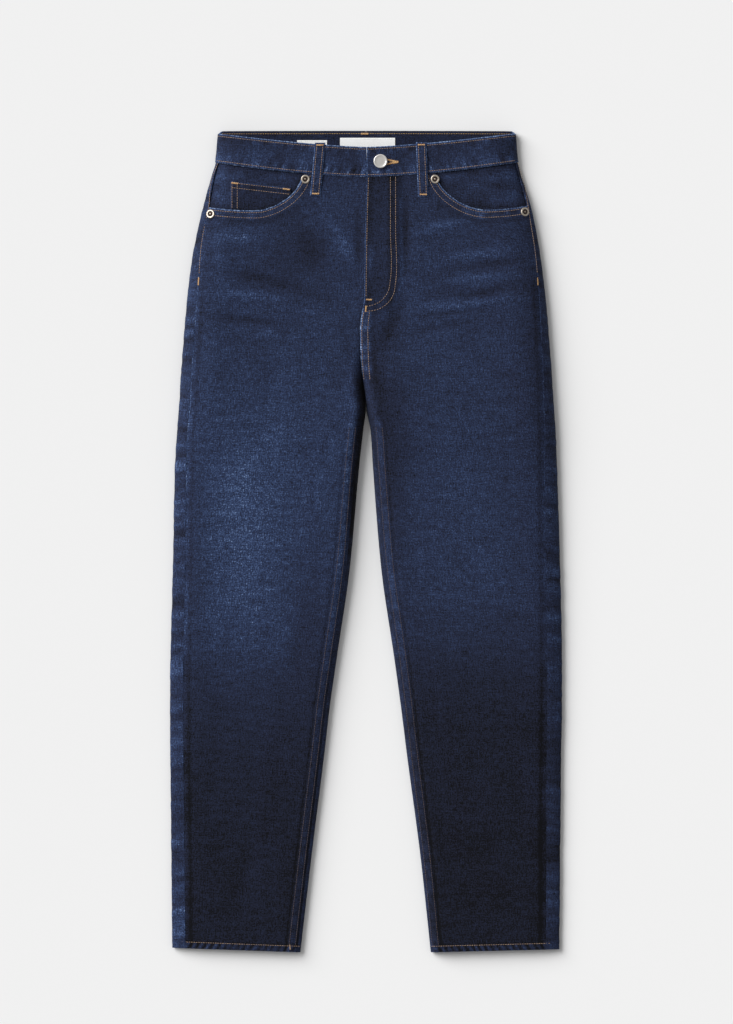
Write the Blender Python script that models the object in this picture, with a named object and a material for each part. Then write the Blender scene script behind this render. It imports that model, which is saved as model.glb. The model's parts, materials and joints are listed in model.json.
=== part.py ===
"""Mom jeans in dark indigo denim, laid flat with the front up and the fly closed.

X runs to the viewer's right, Y towards the waist and Z up from the surface that the jeans
lie on. "Right" and "left" are the wearer's, so the right leg is at -X. Each side is a tube of
cloth: the front panel is its crowned top, and the back panel lies on the surface and rolls up
round both rims to meet the front. Sizes below are in millimetres, with Y counted from the hem.
"""

import math
from collections import namedtuple

import bmesh
import bpy
import numpy as np

MM = 0.001

# Driving dimensions
LENGTH = 1001.5  # hem to the top edge of the back waistband
DENIM = 1.1  # wall of one layer of denim
SEAM_GAP = 0.3  # between the edges or faces of two pieces
CROTCH = 667.0  # where the four inner seams meet
RIM_RUN = 45.0  # how far in from the outer rim the front reaches its crown
RIM_LOW = 5.0  # half height and roll of a rim, under its widest line
REST_LIFT = 1.5  # the seat rests on its patch pockets and loops, this far up
BAND_WALL = 2.6  # two layers of denim and the turned edges
BAND_PROUD = 1.2  # the front waistband stands this far above the panels
BAND_LOW_SIDE = 966.0  # lower edge of the waistband at the side folds and the back
BAND_LOW_FRONT = 946.7  # lower edge at the centre front
BAND_TOP_FRONT = 981.5  # upper edge at the centre front
BAND_TOP_SIDE = 998.0  # upper edge at the side folds
BAND_HALF = 182.0  # half the flat width at the waist
HEM_WALL = 2.2  # the cloth is folded double at the hem
HEM_DEPTH = 9.0
INSEAM_TURN = 36.0  # degrees up the inner rim where the inseam lies on a leg
FLAT_END = 4.0  # the columns of points that make the roll lie this much wider where it is flat
ROLL_START = 14.0  # the back panel rolls up the inner rim this far below the crotch
FLY_RISE = 1.4  # the left front lies over the right one
FLY_WIDTH = 38.0
FLY_FOOT = 785.0
PLY_WALL = 1.2  # patch pockets and belt loops

# A row for each height of the flat-laid outline. Outer and inner give the edges of each leg,
# seam the distance of the side seam from the outer edge, crown the height of the front,
# inner_z the height of its inner edge, and inner_run how far from it the crown is reached.
Level = namedtuple(
    "Level",
    "y right_outer left_outer right_inner left_inner"
    " right_seam left_seam crown inner_z inner_run",
)
LEVELS = [
    Level(0, 236.0, 235.5, 80.0, 79.0, 16.0, 16.0, 11.5, 5.0, 20),
    Level(120, 237.5, 236.8, 66.0, 66.0, 16.0, 17.0, 13.0, 5.0, 22),
    Level(240, 238.6, 238.0, 51.0, 50.0, 16.0, 18.0, 14.5, 5.0, 24),
    Level(300, 239.0, 239.0, 44.0, 42.5, 16.0, 18.0, 15.5, 5.2, 25),
    Level(360, 238.4, 238.9, 35.4, 34.2, 16.0, 18.0, 16.5, 5.5, 25),
    Level(470, 235.5, 236.7, 19.5, 18.3, 15.0, 17.0, 19.0, 6.0, 25),
    Level(590, 233.0, 233.0, 8.5, 8.5, 14.0, 15.0, 22.0, 6.0, 24),
    Level(635, 230.5, 231.3, 3.6, 5.6, 13.0, 13.0, 24.0, 5.0, 20),
    Level(667, 227.8, 229.0, 0.15, 0.15, 13.0, 12.0, 25.0, 2.9, 14),
    Level(700, 226.0, 227.0, 0.15, 0.15, 13.0, 10.5, 25.0, 9.0, 14),
    Level(740, 223.0, 224.0, 0.15, 0.15, 12.5, 9.5, 24.5, 21.5, 22),
    Level(793, 218.4, 219.6, 0.15, 0.15, 12.0, 7.5, 23.5, 23.3, 30),
    Level(852, 211.0, 212.3, 0.15, 0.15, 8.5, 5.5, 22.5, 22.5, 30),
    Level(903, 200.0, 202.5, 0.15, 0.15, 7.0, 4.0, 21.5, 21.5, 30),
    Level(947, 187.9, 189.3, 0.15, 0.15, 3.0, 2.5, 20.5, 20.5, 30),
    Level(966, 182.5, 184.5, 0.15, 0.15, 2.5, 2.5, 20.0, 20.0, 30),
    Level(1002, 179.5, 181.5, 0.15, 0.15, 2.5, 2.5, 19.0, 19.0, 30),
]
HEM_SLANT = {"right": 5.5, "left": 3.7}  # how far each hem rises towards its side seam
SIGN = {"right": -1.0, "left": 1.0}


def smooth_columns():
    """The levels' heights and values, and slopes for curves through them without overshoot."""
    table = np.array(LEVELS, float)
    y, values = table[:, 0], table[:, 1:]
    run = np.diff(y)[:, None]
    rise = np.diff(values, axis=0) / run
    slope = np.zeros_like(values)
    before, after = rise[:-1], rise[1:]
    turning = before * after <= 0
    safe = np.where(turning, 1.0, before + after)
    slope[1:-1] = np.where(turning, 0.0, 2 * before * after / safe)
    slope[0], slope[-1] = rise[0], rise[-1]
    return y, values, slope


LEVEL_Y, LEVEL_VALUES, LEVEL_SLOPES = smooth_columns()
COLUMN = {name: i for i, name in enumerate(Level._fields[1:])}


def at(name, y):
    """One column of the levels at any heights."""
    y = np.clip(np.asarray(y, float), LEVEL_Y[0], LEVEL_Y[-1])
    row = np.clip(np.searchsorted(LEVEL_Y, y, "right") - 1, 0, len(LEVEL_Y) - 2)
    span = LEVEL_Y[row + 1] - LEVEL_Y[row]
    t = (y - LEVEL_Y[row]) / span
    column = COLUMN[name]
    low, high = LEVEL_VALUES[row, column], LEVEL_VALUES[row + 1, column]
    leave, arrive = LEVEL_SLOPES[row, column] * span, LEVEL_SLOPES[row + 1, column] * span
    return (
        (2 * t**3 - 3 * t**2 + 1) * low
        + (t**3 - 2 * t**2 + t) * leave
        + (3 * t**2 - 2 * t**3) * high
        + (t**3 - t**2) * arrive
    )


def step(value, start, end):
    """0 before start and 1 after end, with a soft passage between."""
    t = np.clip((np.asarray(value, float) - start) / (end - start), 0, 1)
    return t * t * (3 - 2 * t)


def rest_z(y):
    """Height of the back panel's outer face: on the surface below the patch pockets."""
    return REST_LIFT * step(y, 690, 728)


def fly_rise(side, x, y):
    """The left front lies over the right one along the fly."""
    if side == "right":
        return np.zeros_like(np.asarray(x, float) + y)
    across = 1 - step(x, FLY_WIDTH - 10, FLY_WIDTH + 8)
    return FLY_RISE * across * step(y, FLY_FOOT - 12, FLY_FOOT + 12)


def top_z(side, x, y):
    """Height of the front at a distance x from the centre line."""
    outer, inner = at(side + "_outer", y), at(side + "_inner", y)
    crown, inner_z, inner_run = at("crown", y), at("inner_z", y), at("inner_run", y)
    from_outer = np.clip((outer - x) / RIM_RUN, 0, 1)
    from_inner = np.clip((x - inner) / inner_run, 0, 1)
    outer_part = RIM_LOW + (crown - RIM_LOW) * np.sqrt(1 - (1 - from_outer) ** 2)
    inner_part = inner_z + (crown - inner_z) * np.sqrt(1 - (1 - from_inner) ** 2)
    return outer_part * inner_part / crown + fly_rise(side, x, y)


def on_front(side, x, y, out=0.0):
    """Points on the front, moved out along its normal. x counts from the centre line."""
    x, y = np.broadcast_arrays(np.asarray(x, float), np.asarray(y, float))
    near = 0.5
    z = top_z(side, x, y)
    along_x = (top_z(side, x + near, y) - top_z(side, x - near, y)) / (2 * near)
    along_y = (top_z(side, x, y + near) - top_z(side, x, y - near)) / (2 * near)
    normal = np.stack([-along_x, -along_y, np.ones_like(z)], -1)
    normal /= np.linalg.norm(normal, axis=-1, keepdims=True)
    points = np.stack([x, y, z], -1) + normal * np.asarray(out, float)[..., None]
    points[..., 0] *= SIGN[side]
    return points


def seam_turn(side, y):
    """Angle on the outer rim's upper quarter where the side seam lies."""
    return np.arccos(1 - at(side + "_seam", y) / RIM_RUN)


def inseam_turn(y):
    """Angle on the inner rim's upper quarter where the inseam lies, 0 at the crotch."""
    return math.radians(INSEAM_TURN) * (1 - step(y, CROTCH - 90, CROTCH - 8))


def around(side, station, y):
    """Points on the outer face, along the ring of cloth at height y.

    Station 0 is the centre front or the inseam, 1 the inner end of the crown, 2 its outer
    end, 3 the outer rim, 4 the outer end of the rest face and 5 its inner end. From 5 to 7
    the cloth rolls up the inner rim to the inseam. Above the crotch that is the last stretch
    of the rest face, to the centre back.
    """
    station, y = np.broadcast_arrays(np.asarray(station, float), np.asarray(y, float))
    outer, inner = at(side + "_outer", y), at(side + "_inner", y)
    inner_z, inner_run = at("inner_z", y), at("inner_run", y)
    low = rest_z(y)
    quarter = math.pi / 2
    part = [np.clip(station - k, 0, 1) for k in range(7)]

    turn = inseam_turn(y) + (quarter - inseam_turn(y)) * part[0]
    x_front = inner + inner_run * (1 - np.cos(turn))
    x_front = x_front + (outer - RIM_RUN - inner - inner_run) * part[1]
    turn = quarter * (1 - part[2])
    x_front = np.where(station > 2, outer - RIM_RUN * (1 - np.cos(turn)), x_front)
    z_front = top_z(side, x_front, y)

    turn = quarter * part[3]
    x_rim = outer - RIM_LOW * (1 - np.cos(turn))
    z_rim = low + (RIM_LOW - low) * (1 - np.sin(turn))

    rolled = step(CROTCH - y, 0, ROLL_START)
    last = RIM_LOW + FLAT_END * (1 - rolled)
    x_rest = outer - RIM_LOW + (inner + last - outer + RIM_LOW) * part[4]
    share = (part[5] + part[6]) / 2
    turn = inseam_turn(y)
    turn = turn - SEAM_GAP / (inner_z + inner_run * np.sin(turn))
    turn = -quarter + (quarter + turn) * share
    x_roll = inner + np.where(turn < 0, last, inner_run) * (1 - np.cos(turn))
    z_roll = inner_z + np.where(turn < 0, inner_z - low, at("crown", y) - inner_z) * np.sin(turn)
    x_end = inner + last * (1 - share) * (1 - rolled) + (x_roll - inner) * rolled
    z_end = low + (z_roll - low) * rolled

    x = np.select([station <= 3, station <= 4, station <= 5], [x_front, x_rim, x_rest], x_end)
    z = np.select([station <= 3, station <= 4, station <= 5], [z_front, z_rim, low], z_end)
    return np.stack([SIGN[side] * x, y, z], -1)


def normals(side, station, y):
    """Outward normals of the ring of cloth."""
    near_station, near_y = 0.01, 0.5
    along = around(side, station + near_station, y) - around(side, station - near_station, y)
    up = around(side, station, y + near_y) - around(side, station, y - near_y)
    up[..., 1] = np.maximum(up[..., 1], near_y)
    normal = np.cross(along, up)
    return SIGN[side] * normal / np.linalg.norm(normal, axis=-1, keepdims=True)


# Making objects
def finish(name, cloth, mesh_made):
    """Turns a bmesh in millimetres into an object that stands in the part's own frame."""
    bmesh.ops.scale(mesh_made, vec=(MM, MM, MM), verts=mesh_made.verts)
    bmesh.ops.translate(mesh_made, vec=(0, -LENGTH * MM / 2, 0), verts=mesh_made.verts)
    bmesh.ops.recalc_face_normals(mesh_made, faces=mesh_made.faces)
    mesh = bpy.data.meshes.new(name)
    mesh_made.to_mesh(mesh)
    mesh_made.free()
    mesh.shade_smooth()
    mesh.set_sharp_from_angle(angle=math.radians(40))
    mesh.materials.append(cloth)
    made = bpy.data.objects.new(name, mesh)
    bpy.context.scene.collection.objects.link(made)
    return made


def wall(name, cloth, outside, inside):
    """A closed wall between two grids of points with the same rows and columns."""
    rows, columns = outside.shape[:2]
    made = bmesh.new()
    faces = [
        [[made.verts.new(point) for point in row] for row in grid.tolist()]
        for grid in (outside, inside)
    ]
    for r in range(rows - 1):
        for c in range(columns - 1):
            for layer in faces:
                corners = layer[r][c], layer[r][c + 1], layer[r + 1][c + 1], layer[r + 1][c]
                made.faces.new(corners)
    edge = [(0, c) for c in range(columns)] + [(r, columns - 1) for r in range(1, rows)]
    edge += [(rows - 1, c) for c in range(columns - 2, -1, -1)]
    edge += [(r, 0) for r in range(rows - 2, 0, -1)]
    out, inn = faces
    for (r, c), (r2, c2) in zip(edge, edge[1:] + edge[:1]):
        made.faces.new((out[r][c], out[r2][c2], inn[r2][c2], inn[r][c]))
    return finish(name, cloth, made)


def turned(name, metal, side, x, y, out, profile, segments):
    """A round piece on the front: profile rows are (radius, height above its seat)."""
    centre = on_front(side, x, y, out)
    up = on_front(side, x, y, out + 1.0) - centre
    across = np.cross(up, [0, 1, 0])
    across /= np.linalg.norm(across)
    beside = np.cross(up, across)
    made = bmesh.new()
    rings = []
    for radius, height in profile:
        angles = [2 * math.pi * k / segments for k in range(segments if radius else 1)]
        rings.append([
            made.verts.new(
                centre + up * height
                + radius * (math.cos(angle) * across + math.sin(angle) * beside)
            )
            for angle in angles
        ])
    for low, high in zip(rings, rings[1:]):
        for k in range(segments):
            after = (k + 1) % segments
            corners = [low[k % len(low)], low[after % len(low)]]
            corners += [high[after % len(high)], high[k % len(high)]]
            made.faces.new(list(dict.fromkeys(corners)))
    return finish(name, metal, made)


def prism(name, cloth, outline, bottom, top):
    """A flat piece between two heights."""
    made = bmesh.new()
    base = made.faces.new([made.verts.new((x, y, bottom)) for x, y in outline])
    grown = bmesh.ops.extrude_face_region(made, geom=[base])
    lifted = [v for v in grown["geom"] if isinstance(v, bmesh.types.BMVert)]
    bmesh.ops.translate(made, vec=(0, 0, top - bottom), verts=lifted)
    return finish(name, cloth, made)


def linear(*srgb):
    """A colour as a screen shows it, in 0 to 255, turned into Blender's own values."""
    scaled = [value / 255 for value in srgb]
    made = [v / 12.92 if v <= 0.04045 else ((v + 0.055) / 1.055) ** 2.4 for v in scaled]
    return (*made, 1.0)


def material(name, colour, roughness, metallic=0.0):
    made = bpy.data.materials.new(name)
    made.use_nodes = True
    shader = made.node_tree.nodes["Principled BSDF"]
    shader.inputs["Base Color"].default_value = linear(*colour)
    shader.inputs["Roughness"].default_value = roughness
    shader.inputs["Metallic"].default_value = metallic
    made.diffuse_color = linear(*colour)
    return made


for old in list(bpy.data.objects):
    bpy.data.objects.remove(old)

DENIM_FRONT = material("denim_front", (44, 54, 80), 0.85)
DENIM_BACK = material("denim_back", (36, 42, 60), 0.85)
DENIM_BAND = material("denim_band", (48, 51, 68), 0.85)
DENIM_POCKET = material("denim_pocket", (39, 44, 63), 0.85)
LABEL_CLOTH = material("label_cloth", (226, 226, 224), 0.8)
NICKEL = material("nickel", (190, 188, 184), 0.3, 1.0)
ZIP_TAPE = material("zip_tape", (30, 32, 44), 0.8)


# The waistband's edges, as heights at a distance x from the centre line
def front_band_low(x):
    return BAND_LOW_FRONT + (BAND_LOW_SIDE - BAND_LOW_FRONT) * (x / BAND_HALF) ** 1.7


def front_band_top(x):
    return BAND_TOP_FRONT + (BAND_TOP_SIDE - BAND_TOP_FRONT) * (x / BAND_HALF) ** 1.4


def back_band_top(x):
    return LENGTH - (LENGTH - BAND_TOP_SIDE) * (x / BAND_HALF) ** 2


# The front pocket's mouth, as a height at a distance x from the centre line. It falls
# steeply from the waistband at its inner end and runs almost level to the side seam.
MOUTH = {
    "right": {"inner": 77.0, "low": 904.0, "round": 57.0, "rise": 45.0, "side": 3.0},
    "left": {"inner": 85.0, "low": 904.8, "round": 60.0, "rise": 45.0, "side": 5.0},
}
MOUTH_POWER = 1.7  # between a straight slant, 1, and an ellipse, 2


def mouth_y(side, x):
    mouth = MOUTH[side]
    across = np.clip((x - mouth["inner"]) / mouth["round"], 0, 1)
    climb = 1 - (1 - (1 - across) ** MOUTH_POWER) ** (1 / MOUTH_POWER)
    beyond = np.clip(x - mouth["inner"] - mouth["round"], 0, None) / 50
    return mouth["low"] + mouth["rise"] * climb + mouth["side"] * beyond**2


# Heights of the rows of points up a leg and a hip, the same for front and back. The real panel
# is one cut from hem to waist. Its solid is parted across at three heights into four lengths
# that lie a seam gap apart, because short walls keep the hollow of the leg open to collision.
HEM_ROWS = [0, HEM_DEPTH - 0.7, HEM_DEPTH + 0.7]
LEG_ROWS = [60, 120, 180, 240, 300, 360, 420, 470, 520, 560, 600, 635, 655]
HIP_ROWS = [CROTCH, 680, 700, 720, 740, 766, 793, 822, 852]
PARTED_AT = [240, 470, CROTCH]
LENGTHS = ["shin", "knee", "thigh", "hip"]  # the four lengths' names, from the hem up
TOP_ROWS = 4  # from the last of those rows to the panel's upper edge
EDGE_TRIES = 6  # times that an edge's heights and its points' places are worked out in turn


def seam_station(side, y, past):
    """The side seam's station, and past it by half the gap, towards the back for past = 1."""
    quarter = math.pi / 2
    half_gap = SEAM_GAP / 2 / (RIM_RUN * np.sin(seam_turn(side, y)) + RIM_LOW)
    return 3 - (seam_turn(side, y) - past * half_gap) / quarter


def panel(side, stations_at, upper_edge):
    """Stations and heights of a leg panel's points, from the hem to its upper edge."""
    beside = [cut + side_of_cut * SEAM_GAP / 2 for cut in PARTED_AT for side_of_cut in (-1, 1)]
    whole = [y for y in HEM_ROWS + LEG_ROWS + HIP_ROWS if y not in PARTED_AT]
    rows = np.array(sorted(whole + beside), float)
    extra = np.arange(1, TOP_ROWS + 1) / TOP_ROWS
    fixed = np.concatenate([rows, np.full(TOP_ROWS, rows[-1])])[:, None]
    share = np.concatenate([np.zeros(len(rows)), extra])[:, None]
    heights = fixed + share * (BAND_LOW_FRONT - fixed)
    for _ in range(EDGE_TRIES):
        stations = stations_at(heights)
        x = np.abs(around(side, stations, heights)[..., 0])
        heights = fixed + share * (upper_edge(x[-1]) - fixed)
    outer, inner = at(side + "_outer", 0), at(side + "_inner", 0)
    across = np.clip((x - inner) / (outer - inner), 0, 1)
    heights = heights + HEM_SLANT[side] * across * (1 - step(heights, 0, 60))
    return stations_at(heights), heights


def panel_walls(name, cloth, side, stations, heights):
    """One layer of denim, folded double at the hem, as its four lengths."""
    thick = np.full(stations.shape + (1,), DENIM)
    thick[: len(HEM_ROWS) - 1] = HEM_WALL
    outside = around(side, stations, heights)
    inside = outside - thick * normals(side, stations, heights)
    starts = [0] + [int(np.searchsorted(heights[:, 0], cut)) for cut in PARTED_AT]
    ends = starts[1:] + [len(heights)]
    for length, start, end in zip(LENGTHS, starts, ends):
        wall(f"{name}_{length}", cloth, outside[start:end], inside[start:end])


# Front panels, crowned, with the pocket mouth cut out of the outer top corner
FRONT_STATIONS = [0, 0.25, 0.55, 1, 1.2, 1.385, 1.41, 1.46, 1.54, 1.66, 1.82, 2]
FRONT_RIM = [0.22, 0.45, 0.7, 1.0]  # from the crown's outer end to the side seam


def front_stations(side, heights):
    y = heights[:, -1:]
    rim = 2 + (seam_station(side, y, -1) - 2) * np.array(FRONT_RIM)
    return np.concatenate([np.tile(FRONT_STATIONS, (len(y), 1)), rim], axis=1)


def front_upper_edge(side, x):
    under_band = x < MOUTH[side]["inner"]
    return np.where(under_band, front_band_low(x), mouth_y(side, x)) - SEAM_GAP / 2


for side in ("right", "left"):
    stations, heights = panel(
        side,
        lambda y: front_stations(side, y),
        lambda x: front_upper_edge(side, x),
    )
    panel_walls(f"front_{side}", DENIM_FRONT, side, stations, heights)

# Back panels, flat on the surface, rolled up both rims, and the yokes above them
BACK_RIM = [0, 0.5, 1]  # from the side seam to the outer rim
BACK_STATIONS = [3.35, 3.7, 4, 4.25, 4.5, 4.75, 5, 5.35, 5.7, 6, 6.35, 6.7, 7]
YOKE_SIDE, YOKE_CENTRE = 928.0, 891.0  # the yoke's lower edge


def back_stations(side, heights):
    y = heights[:, :1]
    seam = seam_station(side, y, 1)
    rim = seam + (3 - seam) * np.array(BACK_RIM)
    return np.concatenate([rim, np.tile(BACK_STATIONS, (len(y), 1))], axis=1)


def yoke_low(x):
    return YOKE_CENTRE + (YOKE_SIDE - YOKE_CENTRE) * np.clip(x / 180, 0, 1)


for side in ("right", "left"):
    stations, heights = panel(
        side,
        lambda y: back_stations(side, y),
        lambda x: yoke_low(x) - SEAM_GAP / 2,
    )
    panel_walls(f"back_{side}", DENIM_BACK, side, stations, heights)

    share = np.array([0, 0.5, 1])[:, None]
    heights = np.full((3, len(BACK_RIM) + len(BACK_STATIONS)), YOKE_SIDE)
    for _ in range(EDGE_TRIES):
        stations = back_stations(side, heights)
        x = np.abs(around(side, stations, heights)[..., 0])
        low = yoke_low(x[:1]) + SEAM_GAP / 2
        high = np.where(stations[-1:] <= 3, front_band_low(x[-1:]), BAND_LOW_SIDE) - SEAM_GAP
        heights = low + share * (high - low)
    points = around(side, stations, heights)
    inside = points - DENIM * normals(side, stations, heights)
    wall(f"yoke_{side}", DENIM_BACK, points, inside)

# Waistband halves, from the centre front round the side to the centre back. At the front the
# band stands proud of the panels, and at the back its thickness goes inwards.
BAND_STATIONS = [0, 0.5, 1, 1.33, 1.67, 2, 2.2, 2.4, 2.6, 2.8, 3]
BAND_STATIONS += [3.35, 3.7, 4, 4.2, 4.4, 4.6, 4.8, 5, 6, 7]

for side in ("right", "left"):
    stations = np.tile(BAND_STATIONS, (3, 1))
    share = np.array([0, 0.5, 1])[:, None]
    x = np.abs(around(side, stations, BAND_TOP_FRONT)[..., 0])
    in_front = stations <= 3
    low = np.where(in_front, front_band_low(x), BAND_LOW_SIDE)
    top = np.where(in_front, front_band_top(x), back_band_top(x))
    low = low + SEAM_GAP / 2
    heights = low + share * (top - low)
    points = around(side, stations, heights)
    proud = (BAND_PROUD * (1 - step(stations, 3, 4)))[..., None]
    out = normals(side, stations, heights)
    wall(
        f"waistband_{side}",
        DENIM_BAND,
        points + proud * out,
        points + (proud - BAND_WALL) * out,
    )


def patch(name, cloth, side, x, y, out, thick):
    """A piece that lies along the front: grids of x and y, and how far out its inner face is."""
    inside = on_front(side, x, y, out)
    outside = on_front(side, x, y, out + thick)
    return wall(name, cloth, outside, inside)


# Front pocket facings, one layer down behind each mouth, and the coin pocket on the right one
FACING_INNER = {"right": 56.0, "left": 64.0}
FACING_BELOW = 20.0  # how far it reaches below the mouth's edge
FACING_COLUMNS = [0, 0.15, 0.26, 0.4, 0.55, 0.7, 0.84, 0.93, 1]

for side in ("right", "left"):
    share = np.array([0, 0.4, 0.7, 1])[:, None]
    columns = np.array(FACING_COLUMNS)
    heights = np.full((4, len(columns)), YOKE_SIDE)
    for _ in range(EDGE_TRIES):
        seam_x = at(side + "_outer", heights) - at(side + "_seam", heights) - SEAM_GAP
        x = FACING_INNER[side] + (seam_x - FACING_INNER[side]) * columns
        low = mouth_y(side, x[0]) - FACING_BELOW
        heights = low + share * (front_band_low(x[-1]) - 2 * SEAM_GAP - low)
    depth = -(2 * DENIM + SEAM_GAP)
    patch(f"pocket_facing_{side}", DENIM_POCKET, side, x, heights, depth, DENIM)

COIN_INNER, COIN_OUTER = 91.7, 165.0
COIN_TOP_INNER, COIN_TOP_OUTER = 931.0, 939.5
share = np.array([0, 0.5, 1])[:, None]
x = np.tile(np.linspace(COIN_INNER, COIN_OUTER, 6), (3, 1))
top = COIN_TOP_INNER + (COIN_TOP_OUTER - COIN_TOP_INNER) * np.linspace(0, 1, 6)
low = mouth_y("right", x) + 4 * SEAM_GAP
patch("coin_pocket", DENIM_POCKET, "right", x, low + share * (top - low), -DENIM, DENIM)

# Belt loops: two on the front, arched a little over the waistband, and three at the back
LOOP_WIDTH = 12.8
FRONT_LOOPS = {  # places of the loop's two ends
    "right": {"foot_x": 61.6, "foot_y": 921.5, "head_x": 55.9, "head_y": 986.5},
    "left": {"foot_x": 69.9, "foot_y": 920.5, "head_x": 67.3, "head_y": 987.0},
}
LOOP_SHARES = [0, 0.12, 0.3, 0.42, 0.6, 0.8, 0.92, 1]
LOOP_CLEAR = [0.0, 0.0, 0.9, 1.6, 2.2, 2.0, BAND_PROUD, BAND_PROUD]  # off the panel's face

for side, loop in FRONT_LOOPS.items():
    share = np.array(LOOP_SHARES)[:, None]
    centre = loop["foot_x"] + share * (loop["head_x"] - loop["foot_x"])
    x = centre + LOOP_WIDTH * np.array([-0.5, 0, 0.5])
    y = loop["foot_y"] + share * (loop["head_y"] - loop["foot_y"]) + 0 * x
    clear = np.array(LOOP_CLEAR)[:, None] + SEAM_GAP + 0 * x
    patch(f"belt_loop_front_{side}", DENIM_BAND, side, x, y, clear, PLY_WALL)

BACK_LOOP_X = {"right": -102.0, "centre": 0.0, "left": 102.0}
BACK_LOOP_FOOT, BACK_LOOP_HEAD = 938.0, 999.5
for place, x in BACK_LOOP_X.items():
    left, right = x - LOOP_WIDTH / 2, x + LOOP_WIDTH / 2
    outline = [(left, BACK_LOOP_FOOT), (right, BACK_LOOP_FOOT)]
    outline += [(right, BACK_LOOP_HEAD), (left, BACK_LOOP_HEAD)]
    prism(f"belt_loop_back_{place}", DENIM_BAND, outline, 0, PLY_WALL)

# Patch pockets on the seat: outline from the inner top corner, x from the centre line
SEAT_POCKET = [(38, 878), (178, 884), (172, 762), (110, 742), (46, 756)]
for side in ("right", "left"):
    outline = [(SIGN[side] * x, y) for x, y in SEAT_POCKET]
    prism(f"seat_pocket_{side}", DENIM_BACK, outline, 0, PLY_WALL)

# Bare labels, sewn to the inside of the back waistband
BAND_INSIDE = REST_LIFT + BAND_WALL + SEAM_GAP
LABELS = {
    "label_main": {"left": -31.7, "right": 35.4, "low": 967.5, "top": 993.0, "thick": 0.5},
    "label_small": {"left": -84.0, "right": -47.6, "low": 968.5, "top": 990.0, "thick": 0.4},
}
for name, label in LABELS.items():
    outline = [(label["left"], label["low"]), (label["right"], label["low"])]
    outline += [(label["right"], label["top"]), (label["left"], label["top"])]
    prism(name, LABEL_CLOTH, outline, BAND_INSIDE, BAND_INSIDE + label["thick"])

# Behind the closed fly: the zip's tapes and coil as one strip, and the fly shield under it
FLY_TOP = 943.0


def behind_fly(name, cloth, left, right, depth, thick):
    x = np.tile([left, right], (4, 1))
    y = np.linspace(FLY_FOOT + 12, FLY_TOP, 4)[:, None] + 0 * x
    points = np.stack([x, y, at("crown", y) - depth], -1)
    wall(name, cloth, points, points - [0, 0, thick])


ZIP_WALL = 1.3
zip_depth = DENIM + 2 * SEAM_GAP
behind_fly("fly_zip", ZIP_TAPE, -5, 23, zip_depth, ZIP_WALL)
behind_fly("fly_shield", DENIM_POCKET, -18, 32, zip_depth + ZIP_WALL + SEAM_GAP, DENIM)

# Button on the left waistband's end, and four rivets at the ends of the pocket mouths
BUTTON_X, BUTTON_Y = 17.6, 963.8
BUTTON_PROFILE = [(0, 0), (4.2, 0), (4.2, 1.6), (7.4, 1.8), (8.5, 2.7), (8.3, 3.6)]
BUTTON_PROFILE += [(7.4, 4.1), (6.4, 3.7), (0, 3.9)]
RIVET_PROFILE = [(0, 0), (5.4, 0.1), (5.4, 0.9), (4.4, 1.5), (2.9, 1.3), (2.5, 0.8)]
RIVET_PROFILE += [(1.3, 1.5), (0, 1.7)]
RIVETS = {
    "rivet_right_inner": ("right", 73.8, 942.1),
    "rivet_right_outer": ("right", 189.2, 899.8),
    "rivet_left_inner": ("left", 84.2, 942.1),
    "rivet_left_outer": ("left", 193.2, 902.4),
}
turned("button", NICKEL, "left", BUTTON_X, BUTTON_Y, BAND_PROUD + SEAM_GAP, BUTTON_PROFILE, 24)
for name, (side, x, y) in RIVETS.items():
    turned(name, NICKEL, side, x, y, SEAM_GAP, RIVET_PROFILE, 12)
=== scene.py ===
"""Mom jeans in dark indigo denim, laid flat with the front up and the fly closed.

X runs to the viewer's right, Y towards the waist and Z up off the floor. "Right" and "left"
are the wearer's, so the right leg is at -X. Sizes are in millimetres, with Y counted from the
hem and x from the centre line, and a mesh is turned into metres when it is made.
"""

import json
import math
from collections import namedtuple

import bpy
import numpy as np
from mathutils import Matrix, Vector

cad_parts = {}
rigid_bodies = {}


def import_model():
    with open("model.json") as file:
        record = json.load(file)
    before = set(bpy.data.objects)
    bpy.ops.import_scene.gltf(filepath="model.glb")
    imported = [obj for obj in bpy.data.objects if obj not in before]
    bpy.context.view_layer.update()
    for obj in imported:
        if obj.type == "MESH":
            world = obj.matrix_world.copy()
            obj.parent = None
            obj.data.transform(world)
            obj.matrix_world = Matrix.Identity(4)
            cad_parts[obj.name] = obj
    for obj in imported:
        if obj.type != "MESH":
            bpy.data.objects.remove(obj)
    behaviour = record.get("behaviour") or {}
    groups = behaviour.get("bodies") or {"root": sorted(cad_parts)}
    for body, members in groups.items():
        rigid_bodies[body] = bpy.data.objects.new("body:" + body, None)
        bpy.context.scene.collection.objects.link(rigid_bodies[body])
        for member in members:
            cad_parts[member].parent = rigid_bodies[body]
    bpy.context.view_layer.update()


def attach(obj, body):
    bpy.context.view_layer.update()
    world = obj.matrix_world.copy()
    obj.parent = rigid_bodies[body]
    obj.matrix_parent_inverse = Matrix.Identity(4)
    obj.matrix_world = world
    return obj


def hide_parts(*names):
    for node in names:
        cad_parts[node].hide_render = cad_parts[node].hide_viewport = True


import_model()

for startup in [o for o in bpy.data.objects if o.name in ("Cube", "Light", "Camera")]:
    bpy.data.objects.remove(startup)

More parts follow.
